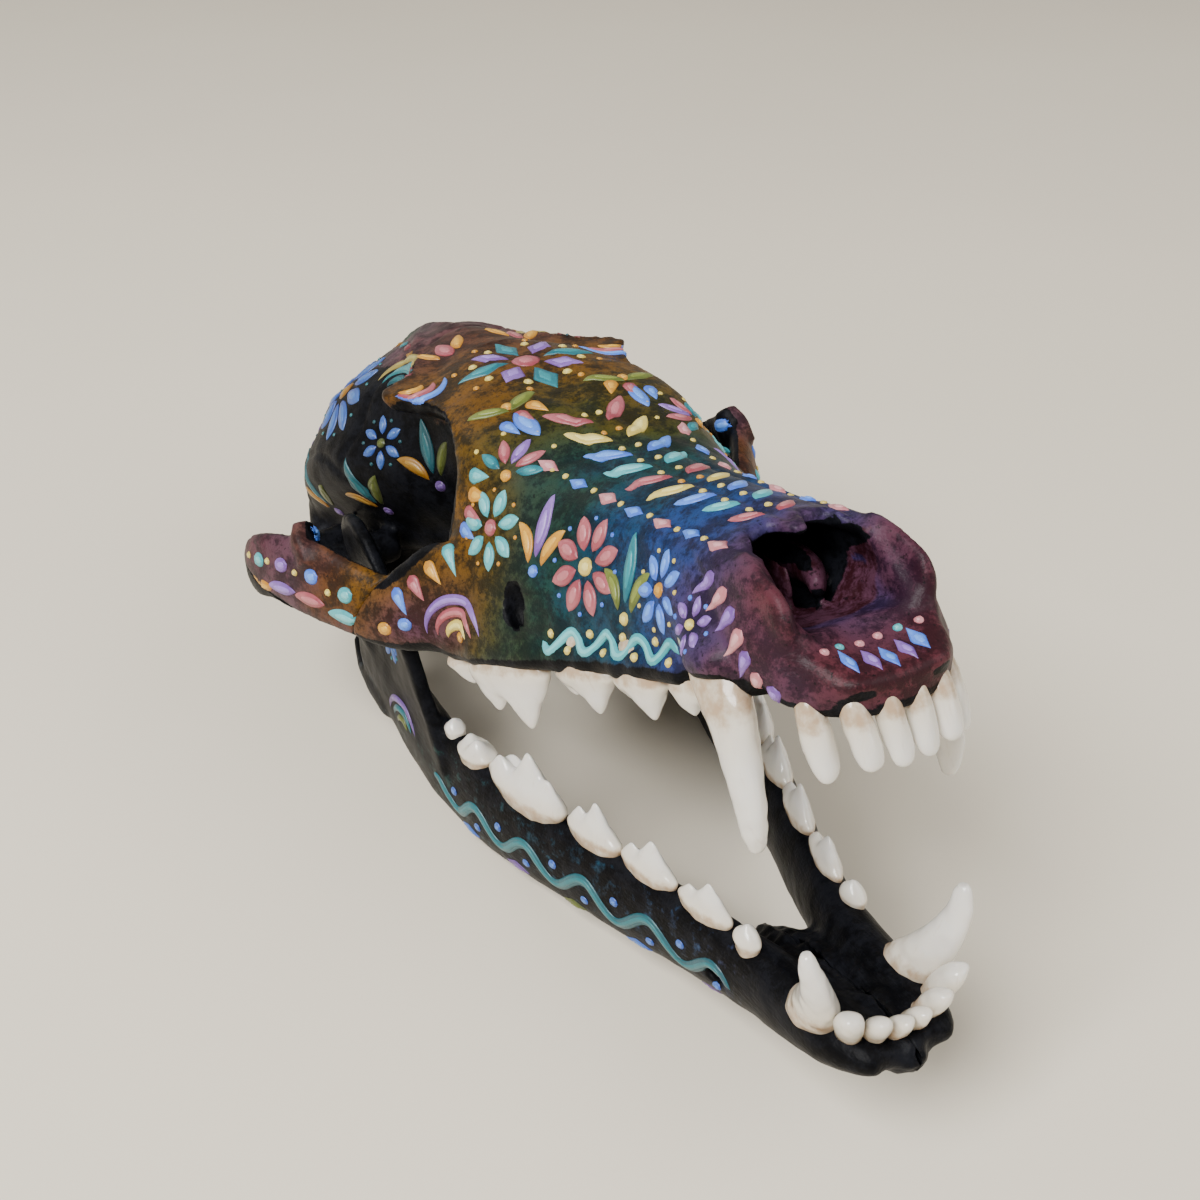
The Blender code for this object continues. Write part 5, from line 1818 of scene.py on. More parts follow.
@dataclass
class LowerJaw:
    """Both halves of the lower jaw, drawn as if the mouth were shut.

    Attributes:
        body: rows of s, x, the upper and the lower edge, and half the thickness.
        blade: the outline (s, z) of the rising blade.
        heel: the hook at the rear corner.
        neck: the neck of the joint.
        condyle: the joint's roller, as middle and half sizes.
        side_hollows: small holes in the outer face, as middle and half sizes.
        cheek_roots: (s, x) of the bulges over the cheek teeth's roots.
        blade_middle: how far the blade stands from the middle plane.
        blade_lean: how much it leans out for each millimetre of height.
        blade_half: half its thickness.
        voxel: the pitch of the grid that the bone is fused on.
    """

    body: Path = (
        (1.8, 2.8, -3.4, -5.8, 2.2),
        (4.0, 3.6, -2.6, -7.2, 3.1),
        (9.0, 4.4, -2.2, -9.4, 4.0),
        (16.0, 5.0, -2.6, -12.0, 3.6),
        (24.0, 6.6, -2.9, -13.8, 2.9),
        (34.0, 9.3, -3.1, -15.0, 2.7),
        (46.0, 12.9, -3.2, -15.9, 2.9),
        (58.0, 16.3, -3.0, -17.0, 3.0),
        (68.0, 18.8, -2.4, -17.5, 2.9),
        (78.0, 20.6, -0.5, -17.2, 2.5),
        (86.0, 21.7, 2.0, -15.4, 2.1),
        (94.0, 22.3, 4.0, -12.0, 1.9),
        (100.0, 22.6, 5.0, -9.4, 1.8),
        (105.0, 22.8, 5.4, -8.0, 1.6),
    )
    blade: Path = (
        (74.0, -8.0),
        (76.5, 0.0),
        (79.5, 7.0),
        (83.0, 14.5),
        (87.0, 19.6),
        (91.0, 22.4),
        (95.0, 23.4),
        (99.0, 22.8),
        (101.4, 20.4),
        (101.6, 17.0),
        (101.2, 13.0),
        (102.0, 9.6),
        (105.0, 6.6),
        (105.0, -7.0),
        (96.0, -10.0),
    )
    heel: Path = (
        (22.6, 97.0, -9.4, 2.6, 1.8),
        (22.9, 104.0, -8.6, 2.2, 1.6),
        (22.6, 109.0, -7.4, 1.7, 1.4),
        (22.0, 113.0, -5.0, 1.1, 1.0),
    )
    neck: Path = ((22.6, 98.0, 1.0, 4.0, 1.8), (22.9, 103.0, 4.4, 3.0, 2.6), (23.2, 106.4, 5.6, 2.2, 3.6))
    condyle: tuple[Row, Row] = ((23.4, 107.0, 6.0), (7.4, 3.2, 2.9))
    side_hollows: tuple[tuple[Row, ...], ...] = (
        ((8.6, 25.0, -9.4), (1.6, 1.5, 0.9)),
        ((10.4, 34.0, -9.8), (1.7, 1.1, 0.7)),
        ((19.6, 88.0, -3.0), (1.6, 2.0, 1.3)),
    )
    cheek_roots: tuple[Row, ...] = (
        (28.0, 8.4),
        (31.0, 9.0),
        (37.4, 10.8),
        (40.4, 11.4),
        (46.0, 13.4),
        (49.6, 14.2),
        (57.0, 17.0),
    )
    blade_middle: float = 22.4
    blade_lean: float = 0.06
    blade_half: float = 1.1
    voxel: float = 0.5

    def shape(self) -> list[bpy.types.Object]:
        """The two halves as bare bones.

        Returns:
            The left half, then the right one.
        """
        body = tuple((x, s, (top + low) / 2, (top - low) / 2, thick) for s, x, top, low, thick in self.body)
        clay = Clay().tubes(body, 60, 24).tubes(self.heel, 14).tubes(self.neck, 12).eggs(*self.condyle)
        for side in (1, -1):
            inner = (self.blade_middle - self.blade_half) * side
            lean = self.blade_lean * side
            outline = [Vector((inner + lean * z, s, z)) for s, z in self.blade]
            clay.prism(outline, Vector((2 * self.blade_half * side, 0, 0)))
        clay.egg((0.0, 15.0, -8.6), (5.0, 15.5, 4.4), (-14, 0, 0))
        jaws = fuse(clay.piece("jaws"), self.voxel, 8)
        hollows = [Clay().eggs((27.0, 90.0, 6.0), (3.8, 10.0, 13.0), (-16, 0, 0))]
        hollows.append(Clay().egg((0.0, 16.0, -0.6), (3.4, 13.0, 4.4), (-10, 0, 0)))
        hollows += [Clay().eggs(*hollow) for hollow in self.side_hollows]
        cut(jaws, hollows)
        fuse(jaws, self.voxel, 3)
        slit = Clay()
        middle = Matrix.Translation((0, 20, -10)) @ Matrix.Diagonal((0.3, 80.0, 100.0, 1.0))
        bmesh.ops.create_cube(slit.shape, size=1.0, matrix=middle)
        cut(jaws, [slit])
        return split(jaws, ("jaw_bone_left", "jaw_bone_right"))

    def relief(self, skin: Skin) -> None:
        """Carves the roots' bulges and the rough joint of the chin.

        Args:
            skin: one half's surface.
        """
        for s, x in self.cheek_roots:
            skin.relief(((x + 2.0, s, -4.6), (x + 2.0, s + 0.6, -9.0)), 1.2, 0.26, 4)
        rough = np.exp(-((skin.side / 3.2) ** 2)) * (1.0 - smooth_step(26.0, 32.0, skin.back))
        found = np.array([noise.noise(Vector(point) / 1.5) for point in skin.points])
        skin.points += skin.normals * (rough * found * 0.55)[:, None]
        skin.lumps(8.0, 0.18, 4.0)
        skin.lumps(2.4, 0.09, 5.0)

    def paint_marks(self, skin: Skin) -> None:
        """Says that nearly all of the jaw is black.

        Args:
            skin: one half's surface.
        """
        outward = skin.normals[:, 0] * np.sign(skin.points[:, 0])
        face = smooth_step(0.35, 0.8, outward) * smooth_step(14.0, 22.0, skin.back)
        skin.mark("dark", 1.0 - 0.37 * face * smooth_step(3.6, 6.0, -skin.height + 2.0))
        skin.mark("ochre", np.zeros(len(skin.points)))
        skin.mark("plum", np.zeros(len(skin.points)))


class Mark(Enum):
    """The outline of a brush stroke."""

    LEAF = "leaf"
    BAND = "band"
    DROP = "drop"
    DIAMOND = "diamond"
    ROUND = "round"

    def width(self, t: float) -> float:
        """The share of its full width that a stroke has at a place.

        Args:
            t: the place, as a share of the stroke's length.

        Returns:
            The share.
        """
        if self is Mark.LEAF:
            return max(0.0, math.sin(math.pi * t)) ** 0.75
        if self is Mark.DIAMOND:
            return 1.0 - abs(2.0 * t - 1.0)
        if self is Mark.DROP:
            blunt = 1.0 - min(t / 0.3, 1.0)
            return math.sqrt(1.0 - blunt * blunt) * (1.0 - max(0.0, t - 0.3) / 0.7) ** 0.8
        edge = 0.5 if self is Mark.ROUND else 0.06
        blunt = 1.0 - min(min(t, 1.0 - t) / edge, 1.0)
        return math.sqrt(1.0 - blunt * blunt)


Place = tuple[Vector, Vector]
BACK = Vector((0.0, 1.0, 0.0))
UP = Vector((0.0, 0.0, 1.0))
LEFT = Vector((1.0, 0.0, 0.0))
DARK_RUN = (0.0, 0.55)
LIGHT_RUN = (0.75, 1.0)


class Canvas:
    """A bone's surface, ready to be painted on."""

    def __init__(self, skin: Skin) -> None:
        """Paints on the surface that a skin describes."""
        self.tree = skin.tree

    def nearest(self, point: Vector) -> Place:
        """The surface's point nearest to another, and its normal."""
        hit, normal, _, _ = self.tree.find_nearest(point * MM)
        return hit / MM, normal

    def seen(self, aim: Vector, outward: Vector, reach: float = 60.0) -> Place:
        """Where a look from outside at a point inside meets the surface.

        Args:
            aim: the point.
            outward: the way from the point to the eye.
            reach: how far off the eye is.

        Returns:
            The place and the surface's normal there.
        """
        outward = outward.normalized()
        hit, normal, _, _ = self.tree.ray_cast((aim + outward * reach) * MM, -outward)
        if hit is None:
            return self.nearest(aim)
        return hit / MM, normal

    def spot(self, s: float, z: float, turn: float, side: int = 1, x: float = 0.0) -> Place:
        """Where a look square to the skull's length meets the surface.

        Args:
            s: how far back.
            z: the height of the point that is looked at.
            turn: 0 to look from above, and 90 from the side.
            side: 1 on the animal's left and -1 on its right.
            x: how far off the middle plane the point is.

        Returns:
            The place and the surface's normal there.
        """
        angle = math.radians(turn)
        return self.seen(Vector((x, s, z)), Vector((math.sin(angle) * side, 0.0, math.cos(angle))))


class Sheet:
    """A flat drawing held against a bone, whose strokes are laid down on the surface."""

    def __init__(self, canvas: Canvas, place: Place, forth: Vector, up: Vector) -> None:
        """Holds the sheet.

        Args:
            canvas: the bone.
            place: the drawing's middle, and the surface's normal there.
            forth: roughly where the drawing's u runs.
            up: roughly where its v runs.
        """
        self.canvas = canvas
        self.middle, self.normal = place
        self.u = (forth - self.normal * forth.dot(self.normal)).normalized()
        self.v = self.normal.cross(self.u)
        if self.v.dot(up) < 0.0:
            self.v = -self.v

    @classmethod
    def beside(cls, canvas: Canvas, s: float, z: float, side: int, turn: float = 90.0) -> "Sheet":
        """A sheet on the side of a bone: u backwards, v upwards."""
        return cls(canvas, canvas.spot(s, z, turn, side), BACK, UP)

    @classmethod
    def above(cls, canvas: Canvas, x: float, s: float) -> "Sheet":
        """A sheet on top of a bone: u backwards, v away from the middle plane."""
        return cls(canvas, canvas.spot(s, 10.0, 0.0, 1, x), BACK, LEFT * (-1.0 if x < 0.0 else 1.0))

    def drop(self, u: float, v: float) -> Place:
        """Where a point of the drawing lies on the bone.

        Args:
            u: the point's u.
            v: its v.

        Returns:
            The place on the bone, and the bone's normal there.
        """
        start = self.middle + self.u * u + self.v * v
        hit, normal, _, _ = self.canvas.tree.ray_cast((start + self.normal * 5.0) * MM, -self.normal, 0.011)
        if hit is None:
            return self.canvas.nearest(start)
        return hit / MM, normal


def towards(turn: float, reach: float = 1.0) -> tuple[float, float]:
    """The point of a drawing at a reach from its middle, turned from u towards v by degrees."""
    return math.cos(math.radians(turn)) * reach, math.sin(math.radians(turn)) * reach


class Brushwork:
    """Strokes of thick paint in low relief, gathered by colour.

    Attributes:
        section: a stroke's section, as shares of its half width and of its height.
        thickness: how thick one coat is.
        second_coat: how much higher the second coat lies.
        thin_below: the half width below which a stroke gets thinner.
        step: how far apart a line's points are.
    """

    section = (
        (-0.8, -0.30),
        (-1.0, -0.03),
        (-0.66, 0.82),
        (0.0, 1.0),
        (0.66, 0.82),
        (1.0, -0.03),
        (0.8, -0.30),
    )
    thickness = 0.2
    second_coat = 0.10
    thin_below = 0.34
    step = 0.38

    def __init__(self, seed: int) -> None:
        """Starts without strokes.

        Args:
            seed: which run of small hand errors the strokes get.
        """
        self.shapes: dict[Tone, bmesh.types.BMesh] = {}
        self.dice = random.Random(seed)

    def off(self, amount: float) -> float:
        """A small error of the hand."""
        return self.dice.uniform(-amount, amount)

    def stroke(
        self,
        canvas: Canvas,
        line: Sequence[Place],
        half_width: float,
        tone: Tone,
        mark: Mark,
        run: tuple[float, float],
        lift: float = 0.0,
    ) -> None:
        """Lays one stroke down.

        Args:
            canvas: the bone.
            line: places on it, from the stroke's start to its end.
            half_width: half its greatest width.
            tone: its colour.
            mark: its outline.
            run: how far its colour has run from the tone's start at both ends.
            lift: how thick the paint under it is.
        """
        if tone not in self.shapes:
            self.shapes[tone] = bmesh.new()
            self.shapes[tone].verts.layers.float.new("run")
        shape = self.shapes[tone]
        last = len(line) - 1
        rows = len(self.section) - 1
        made = bmesh.ops.create_grid(shape, x_segments=last, y_segments=rows, size=1.0)["verts"]
        layer = shape.verts.layers.float["run"]
        for i, (point, normal) in enumerate(line):
            before, after = line[max(i - 1, 0)], line[min(i + 1, last)]
            normal = (before[1] + normal * 2.0 + after[1]).normalized()
            across = normal.cross(after[0] - before[0]).normalized()
            wide = max(half_width * mark.width(i / last), 0.02)
            full = min(1.0, wide / self.thin_below)
            for j, (share, height) in enumerate(self.section):
                base, _ = canvas.nearest(point + across * (share * wide))
                rise = (height * self.thickness + lift) * full if height > 0.0 else height
                vert = made[j * (last + 1) + i]
                vert.co = base + normal * rise
                vert[layer] = lerp(run[0], run[1], i / last)

    def drawn(
        self, sheet: Sheet, points: Sequence[tuple[float, float]], half_width: float, tone: Tone, mark: Mark
    ) -> None:
        """Lays a drawn line down twice: a darker coat, and a narrower lighter one on top.

        Args:
            sheet: the drawing.
            points: the line's points on it.
            half_width: half the stroke's greatest width.
            tone: its colour.
            mark: its outline.
        """
        half_width *= 1.0 + self.off(0.08)
        line = [sheet.drop(u, v) for u, v in points]
        self.stroke(sheet.canvas, line, half_width, tone, mark, DARK_RUN)
        count = len(line)
        inner = line[round(count * 0.14) : max(round(count * 0.80), 4)]
        if half_width > 0.4 and len(inner) > 3:
            self.stroke(sheet.canvas, inner, half_width * 0.56, tone, mark, LIGHT_RUN, self.second_coat)

    def petal(
        self,
        sheet: Sheet,
        start: tuple[float, float],
        turn: float,
        length: float,
        half_width: float,
        tone: Tone,
        mark: Mark = Mark.LEAF,
        bend: float = 0.0,
    ) -> None:
        """A short stroke.

        Args:
            sheet: the drawing.
            start: where it starts.
            turn: which way it runs, in degrees from u towards v.
            length: how long it is.
            half_width: half its greatest width.
            tone: its colour.
            mark: its outline.
            bend: how much its way turns from start to end, in degrees.
        """
        u, v = start[0] + self.off(0.08), start[1] + self.off(0.08)
        turn += self.off(3.5)
        steps = max(8, round(length / self.step))
        points = [(u, v)]
        for i in range(steps):
            angle = math.radians(turn + bend * ((i + 0.5) / steps - 0.5))
            u += math.cos(angle) * length / steps
            v += math.sin(angle) * length / steps
            points.append((u, v))
        self.drawn(sheet, points, half_width, tone, mark)

    def dot(self, sheet: Sheet, u: float, v: float, radius: float, tone: Tone, stretch: float = 1.0) -> None:
        """A round or oval dab whose long side lies along u."""
        self.petal(sheet, (u - radius * stretch, v), 0.0, 2.0 * radius * stretch, radius, tone, Mark.ROUND)

    def arches(
        self,
        sheet: Sheet,
        middle: tuple[float, float],
        span: tuple[float, float],
        half_width: float,
        rows: Sequence[tuple[float, Tone]],
    ) -> None:
        """Nested strokes round a middle.

        Args:
            sheet: the drawing.
            middle: the middle.
            span: their first and last angle, in degrees from u towards v.
            half_width: half their greatest width.
            rows: how far off the middle each one runs, and its colour.
        """
        for radius, tone in rows:
            steps = max(8, round(abs(math.radians(span[1] - span[0])) * radius / self.step))
            points = []
            for i in range(steps + 1):
                u, v = towards(lerp(span[0], span[1], i / steps), radius)
                points.append((middle[0] + u, middle[1] + v))
            self.drawn(sheet, points, half_width, tone, Mark.LEAF)

    def rosette(self, sheet: Sheet, radius: float, petals: int, tone: Tone, heart: Tone, rim: Tone) -> None:
        """A flower of leaf strokes with a heart, and a small dab between every two petals.

        Args:
            sheet: the drawing, whose middle is the flower's.
            radius: how far its petals reach.
            petals: how many it has.
            tone: their colour.
            heart: the heart's colour.
            rim: the colour of the small dabs.
        """
        spin = self.dice.uniform(0.0, 360.0 / petals)
        for k in range(petals):
            turn = spin + 360.0 * k / petals
            u, v = towards(turn)
            start = (u * radius * 0.30, v * radius * 0.30)
            self.petal(sheet, start, turn, radius * 0.70, radius * 0.205, tone)
            u, v = towards(turn + 180.0 / petals)
            self.dot(sheet, u * radius * 0.92, v * radius * 0.92, 0.30, rim)
        self.dot(sheet, 0.0, 0.0, radius * 0.21, heart)

    def wave(
        self,
        canvas: Canvas,
        side: int,
        span: tuple[float, float],
        height: Callable,
        sizes: Row,
        tones: Sequence[Tone],
    ) -> None:
        """A wavy band along the side of a bone, with a pearl in every bow.

        Args:
            canvas: the bone.
            side: 1 on the animal's left and -1 on its right.
            span: how far back it starts and ends.
            height: gives the height of its middle line for a place.
            sizes: its swing, its wavelength, its half width and the pearls' radius.
            tones: the band's and the pearls' colours.
        """
        swing, length, half_width, pearl = sizes
        steps = round((span[1] - span[0]) / 0.45)
        line = []
        for i in range(steps + 1):
            s = lerp(span[0], span[1], i / steps)
            z = height(s) + swing * math.sin(2.0 * math.pi * (s - span[0]) / length)
            line.append(canvas.spot(s, z, 90.0, side))
        self.stroke(canvas, line, half_width, tones[0], Mark.BAND, DARK_RUN)
        inner = line[2:-2]
        self.stroke(canvas, inner, half_width * 0.5, tones[0], Mark.BAND, LIGHT_RUN, self.second_coat)
        for k in range(int((span[1] - span[0]) / length * 2.0)):
            s = span[0] + length * (0.25 + 0.5 * k)
            z = height(s) - swing * 0.9 * (1 if k % 2 == 0 else -1)
            self.dot(Sheet.beside(canvas, s, z, side), 0.0, 0.0, pearl, tones[1])

    def pieces(self, name: str, stance: Matrix, nodes: Sequence[str], tone_and_shade_dim: float) -> None:
        """Makes the objects, one for each colour.

        Args:
            name: what their names start with.
            stance: where they go.
            nodes: the CAD nodes that they lie on.
            tone_and_shade_dim: how much of their colours' brightness is left, for darker paint and as painted
                shade.
        """
        for tone, shape in self.shapes.items():
            bmesh.ops.scale(shape, vec=(MM, MM, MM), verts=shape.verts)
            piece = new_object(f"{name}_{tone.label}", shape)
            settle(piece, stance, BrushColour(tone, tone_and_shade_dim).build(f"{piece.name}_paint"), nodes[0])
            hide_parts(*nodes)


@dataclass
class HeadOrnament:
    """The pattern on the upper skull: flowers, chevrons, waves, diamonds and dashes."""

    seed: int = 7
    bars: tuple[Tone, ...] = (Tone.AQUA, Tone.ROSE, Tone.LAVENDER, Tone.MUSTARD)

    def snout(self, brush: Brushwork, canvas: Canvas, side: int) -> None:
        """Paints one side of the snout.

        Args:
            brush: the brush.
            canvas: the cranium.
            side: 1 on the animal's left and -1 on its right.
        """
        sizes = (0.95, 6.0, 0.62, 0.55)
        brush.wave(canvas, side, (21.5, 45.5), lambda s: 3.9, sizes, (Tone.AQUA, Tone.CREAM))
        flowers = (
            (25.2, 9.8, 4.4, 7, Tone.PERIWINKLE, Tone.MUSTARD, Tone.CREAM),
            (39.2, 11.8, 5.7, 8, Tone.ROSE, Tone.CREAM, Tone.PERIWINKLE),
            (55.4, 16.4, 5.0, 7, Tone.AQUA, Tone.ROSE, Tone.MUSTARD),
        )
        for s, z, *flower in flowers:
            brush.rosette(Sheet.beside(canvas, s, z, side), *flower)
        for s, z, tones in (
            (31.6, 7.6, (Tone.OLIVE, Tone.TEAL, Tone.OLIVE, Tone.CREAM)),
            (47.2, 12.4, (Tone.MUSTARD, Tone.LAVENDER, Tone.MUSTARD, Tone.PERIWINKLE)),
        ):
            sheet = Sheet.beside(canvas, s, z, side)
            brush.petal(sheet, (0.0, 0.6), 90.0, 7.4, 1.15, tones[1])
            brush.petal(sheet, (1.2, -0.2), 55.0, 5.4, 1.0, tones[0], bend=-55.0)
            brush.petal(sheet, (-1.2, -0.2), 125.0, 5.4, 1.0, tones[2], bend=55.0)
            brush.dot(sheet, 0.0, -1.1, 0.8, tones[3])
        for k in range(7):
            share = k / 6.0
            sheet = Sheet.beside(canvas, lerp(17.0, 51.0, share), lerp(4.6, 9.6, share), side, 36.0)
            tone = (Tone.BLUSH, Tone.PERIWINKLE)[k % 2]
            brush.petal(sheet, (-1.7, 0.0), 0.0, 3.5, 1.05, tone, Mark.DIAMOND)
            brush.dot(sheet, 2.9, 0.15, 0.42, Tone.CREAM)
        rim = ((14.6, 12.0), (12.0, 10.4), (10.2, 8.4), (9.2, 6.2), (8.2, 3.9), (6.6, 2.4))
        for k, (s, z) in enumerate(along(rim, 6)):
            sheet = Sheet.beside(canvas, s, z, side)
            tone = (Tone.LAVENDER, Tone.BLUSH)[k % 2]
            brush.petal(sheet, (0.5, 0.0), -30.0 - 7.0 * k, 4.0 - 0.22 * k, 0.88, tone, Mark.DROP)
        fan = Sheet.beside(canvas, 54.6, 15.4, side, 62.0)
        tones = (Tone.LAVENDER, Tone.ROSE, Tone.ROSE, Tone.TEAL, Tone.TEAL)
        for turn, tone in zip((90.0, 52.0, 128.0, 16.0, 164.0), tones):
            brush.petal(fan, towards(turn, 1.2), turn, 3.7, 0.85, tone)
            brush.dot(fan, *towards(turn, 6.0), 0.36, Tone.CREAM)
        brush.dot(fan, 0.0, -0.3, 0.8, Tone.MUSTARD)
        sheet = Sheet.beside(canvas, 17.6, 7.4, side)
        brush.rosette(sheet, 3.0, 6, Tone.LAVENDER, Tone.CREAM, Tone.PERIWINKLE)

    def eye(self, brush: Brushwork, canvas: Canvas, side: int) -> None:
        """Paints round one eye socket and on the cheek's root.

        Args:
            brush: the brush.
            canvas: the cranium.
            side: 1 on the animal's left and -1 on its right.
        """
        rim = ((62.4, 27.4), (60.6, 24.4), (60.2, 20.6), (61.4, 16.8), (64.2, 13.4), (68.2, 10.8))
        tones = (Tone.MUSTARD, Tone.ROSE, Tone.PERIWINKLE, Tone.AQUA)
        for k, (s, z) in enumerate(along(rim, 10)):
            turn = math.degrees(math.atan2(z - 22.4, s - 75.4))
            sheet = Sheet.beside(canvas, s, z, side, 72.0 if z > 24.0 else 90.0)
            brush.petal(sheet, (0.0, 0.0), turn, 3.7, 1.05, tones[k % 4], Mark.DROP)
        sheet = Sheet.beside(canvas, 61.0, 5.4, side)
        rows = ((1.9, Tone.CREAM), (3.5, Tone.ROSE), (5.1, Tone.LAVENDER))
        brush.arches(sheet, (0.0, -1.9), (10.0, 170.0), 0.70, rows)
        brush.dot(sheet, 0.0, -1.6, 0.7, Tone.MUSTARD)
        for s, z, tone in ((67.6, 6.2, Tone.PERIWINKLE), (70.6, 5.8, Tone.MUSTARD)):
            brush.dot(Sheet.beside(canvas, s, z, side), 0.0, 0.0, 0.95, tone, 1.2)

    def roof(self, brush: Brushwork, canvas: Canvas) -> None:
        """Paints the bridge of the nose and the forehead.

        Args:
            brush: the brush.
            canvas: the cranium.
        """
        tones = (Tone.ROSE, Tone.AQUA, Tone.PERIWINKLE, Tone.CREAM)
        for k in range(9):
            s = 19.4 + 4.5 * k
            half = lerp(3.4, 6.4, k / 8.0)
            for side in (1, -1):
                sheet = Sheet.above(canvas, 0.7 * side, s)
                brush.petal(sheet, (-1.4, 0.1), 52.0, half, 1.0 + 0.03 * k, tones[k % 4])
                brush.dot(sheet, 1.0, 0.5, 0.46, Tone.CREAM if k % 4 != 3 else Tone.MUSTARD)
        heart = Sheet.above(canvas, 0.01, 74.0)
        for k in range(8):
            turn = 45.0 * k
            long, tone = (7.2, Tone.TEAL) if k % 2 == 0 else (5.4, Tone.LAVENDER)
            brush.petal(heart, towards(turn, 2.5), turn, long, 1.75, tone, Mark.DIAMOND)
            brush.dot(heart, *towards(turn + 22.5, 7.2), 0.66, Tone.CREAM)
            brush.dot(heart, *towards(turn + 22.5, 9.6), 0.50, Tone.MUSTARD)
        brush.dot(heart, 0.0, 0.0, 1.9, Tone.ROSE)
        for side in (1, -1):
            sheet = Sheet.above(canvas, 14.0 * side, 78.6)
            rows = ((1.8, Tone.MUSTARD), (3.4, Tone.ROSE), (5.0, Tone.PERIWINKLE))
            brush.arches(sheet, (1.6, 0.8), (115.0, 262.0), 0.74, rows)
            sheet = Sheet.above(canvas, 8.0 * side, 62.0)
            brush.petal(sheet, (0.0, 0.2), 62.0, 5.4, 1.1, Tone.OLIVE, bend=40.0)
            brush.petal(sheet, (0.0, -0.2), -62.0, 5.4, 1.1, Tone.OLIVE, bend=-40.0)
            brush.petal(sheet, (-0.8, 0.0), 180.0, 6.4, 1.25, Tone.PERIWINKLE)
            brush.dot(sheet, 1.1, 0.0, 0.9, Tone.MUSTARD)
            sheet = Sheet.above(canvas, 5.4 * side, 90.0)
            brush.petal(sheet, (-2.4, 0.0), 0.0, 6.4, 1.3, Tone.ROSE)
            brush.petal(sheet, (-1.6, 1.6), 28.0, 5.2, 1.0, Tone.MUSTARD, bend=30.0)
            brush.petal(sheet, (-1.6, -1.6), -28.0, 5.2, 1.0, Tone.MUSTARD, bend=-30.0)

    def braincase(self, brush: Brushwork, canvas: Canvas, side: int) -> None:
        """Paints one side of the braincase.

        Args:
            brush: the brush.
            canvas: the cranium.
            side: 1 on the animal's left and -1 on its right.
        """
        line = ((16.0, 86.0), (11.4, 91.0), (8.2, 98.0), (6.2, 106.0), (5.0, 116.0), (4.4, 126.0))
        for k, (x, s) in enumerate(along(line, 10)):
            sheet = Sheet.above(canvas, x * side, s)
            tone = (Tone.AQUA, Tone.MUSTARD, Tone.ROSE)[k % 3]
            brush.petal(sheet, (-1.4, 0.0), 0.0, 2.9, 0.9, tone, Mark.DIAMOND)
        for s, z, turn, tone in (
            (96.0, 20.0, 66.0, Tone.PERIWINKLE),
            (125.0, 22.0, 70.0, Tone.LAVENDER),
            (87.0, 26.0, 58.0, Tone.ROSE),
        ):
            brush.rosette(Sheet.beside(canvas, s, z, side, turn), 3.9, 6, tone, Tone.OLIVE, Tone.TEAL)
        around = ((110.0, 50.0), (95.0, 42.0), (126.0, 56.0))
        sheets = [Sheet.beside(canvas, s, 22.0, side, turn) for s, turn in around]
        brush.rosette(sheets[0], 7.8, 9, Tone.PERIWINKLE, Tone.MUSTARD, Tone.AQUA)
        arcs = ((Tone.TEAL, Tone.AQUA, Tone.CREAM), (Tone.LAVENDER, Tone.ROSE, Tone.BLUSH))
        for sheet, tones in zip(sheets[1:], arcs):
            brush.arches(sheet, (0.0, -1.6), (10.0, 170.0), 0.85, tuple(zip((2.0, 3.9, 5.8), tones)))
        for s, turn, z in ((89.0, 72.0, 17.0), (102.0, 84.0, 16.0), (117.0, 84.0, 16.0)):
            sheet = Sheet.beside(canvas, s, z, side, turn)
            brush.petal(sheet, (0.0, 0.8), 90.0, 7.6, 1.3, Tone.TEAL)
            brush.petal(sheet, (1.2, 0.2), 48.0, 6.0, 1.1, Tone.MUSTARD, bend=-50.0)
            brush.petal(sheet, (-1.2, 0.2), 132.0, 6.0, 1.1, Tone.OLIVE, bend=50.0)
            brush.dot(sheet, 0.0, -1.2, 0.95, Tone.LAVENDER)

    def front(self, brush: Brushwork, canvas: Canvas) -> None:
        """Paints the bone over the front teeth.

        Args:
            brush: the brush.
            canvas: the cranium.
        """
        for k in range(-2, 3):
            place = canvas.seen(Vector((1.9 * k, 3.6 + 0.22 * k * k, 1.5)), Vector((0.0, -0.6, 0.8)))
            sheet = Sheet(canvas, place, LEFT, UP)
            tone = Tone.PERIWINKLE if k % 2 == 0 else Tone.LAVENDER
            brush.petal(sheet, (0.0, -1.7), 90.0, 3.5, 0.86, tone, Mark.DIAMOND)
        for side in (1, -1):
            for x, s, tone in ((1.1, 6.9, Tone.BLUSH), (3.2, 7.0, Tone.AQUA), (5.2, 6.6, Tone.BLUSH)):
                place = canvas.seen(Vector((x * side, s, 2.0)), Vector((0.0, -0.6, 0.8)))
                brush.dot(Sheet(canvas, place, LEFT, UP), 0.0, 0.0, 0.48, tone)

    def arch(self, brush: Brushwork, canvas: Canvas, side: int) -> None:
        """Paints the outer face of one cheek arch.

        Args:
            brush: the brush.
            canvas: the arch.
            side: 1 on the animal's left and -1 on its right.
        """
        line = ((76.0, 9.4), (81.0, 12.2), (86.0, 14.2), (91.0, 15.0), (96.0, 14.6))
        for k, (s, z) in enumerate(along(line, 4)):
            sheet = Sheet.beside(canvas, s, z, side)
            brush.petal(sheet, (-2.8, -2.6), 20.0 - 5.0 * k, 6.0, 1.1, self.bars[k % 4])
            brush.dot(sheet, -1.4, 1.2, 1.1, (Tone.AQUA, Tone.PERIWINKLE, Tone.LAVENDER)[k % 3], 1.2)
            brush.dot(sheet, 1.6, 1.9, 0.5, Tone.CREAM)

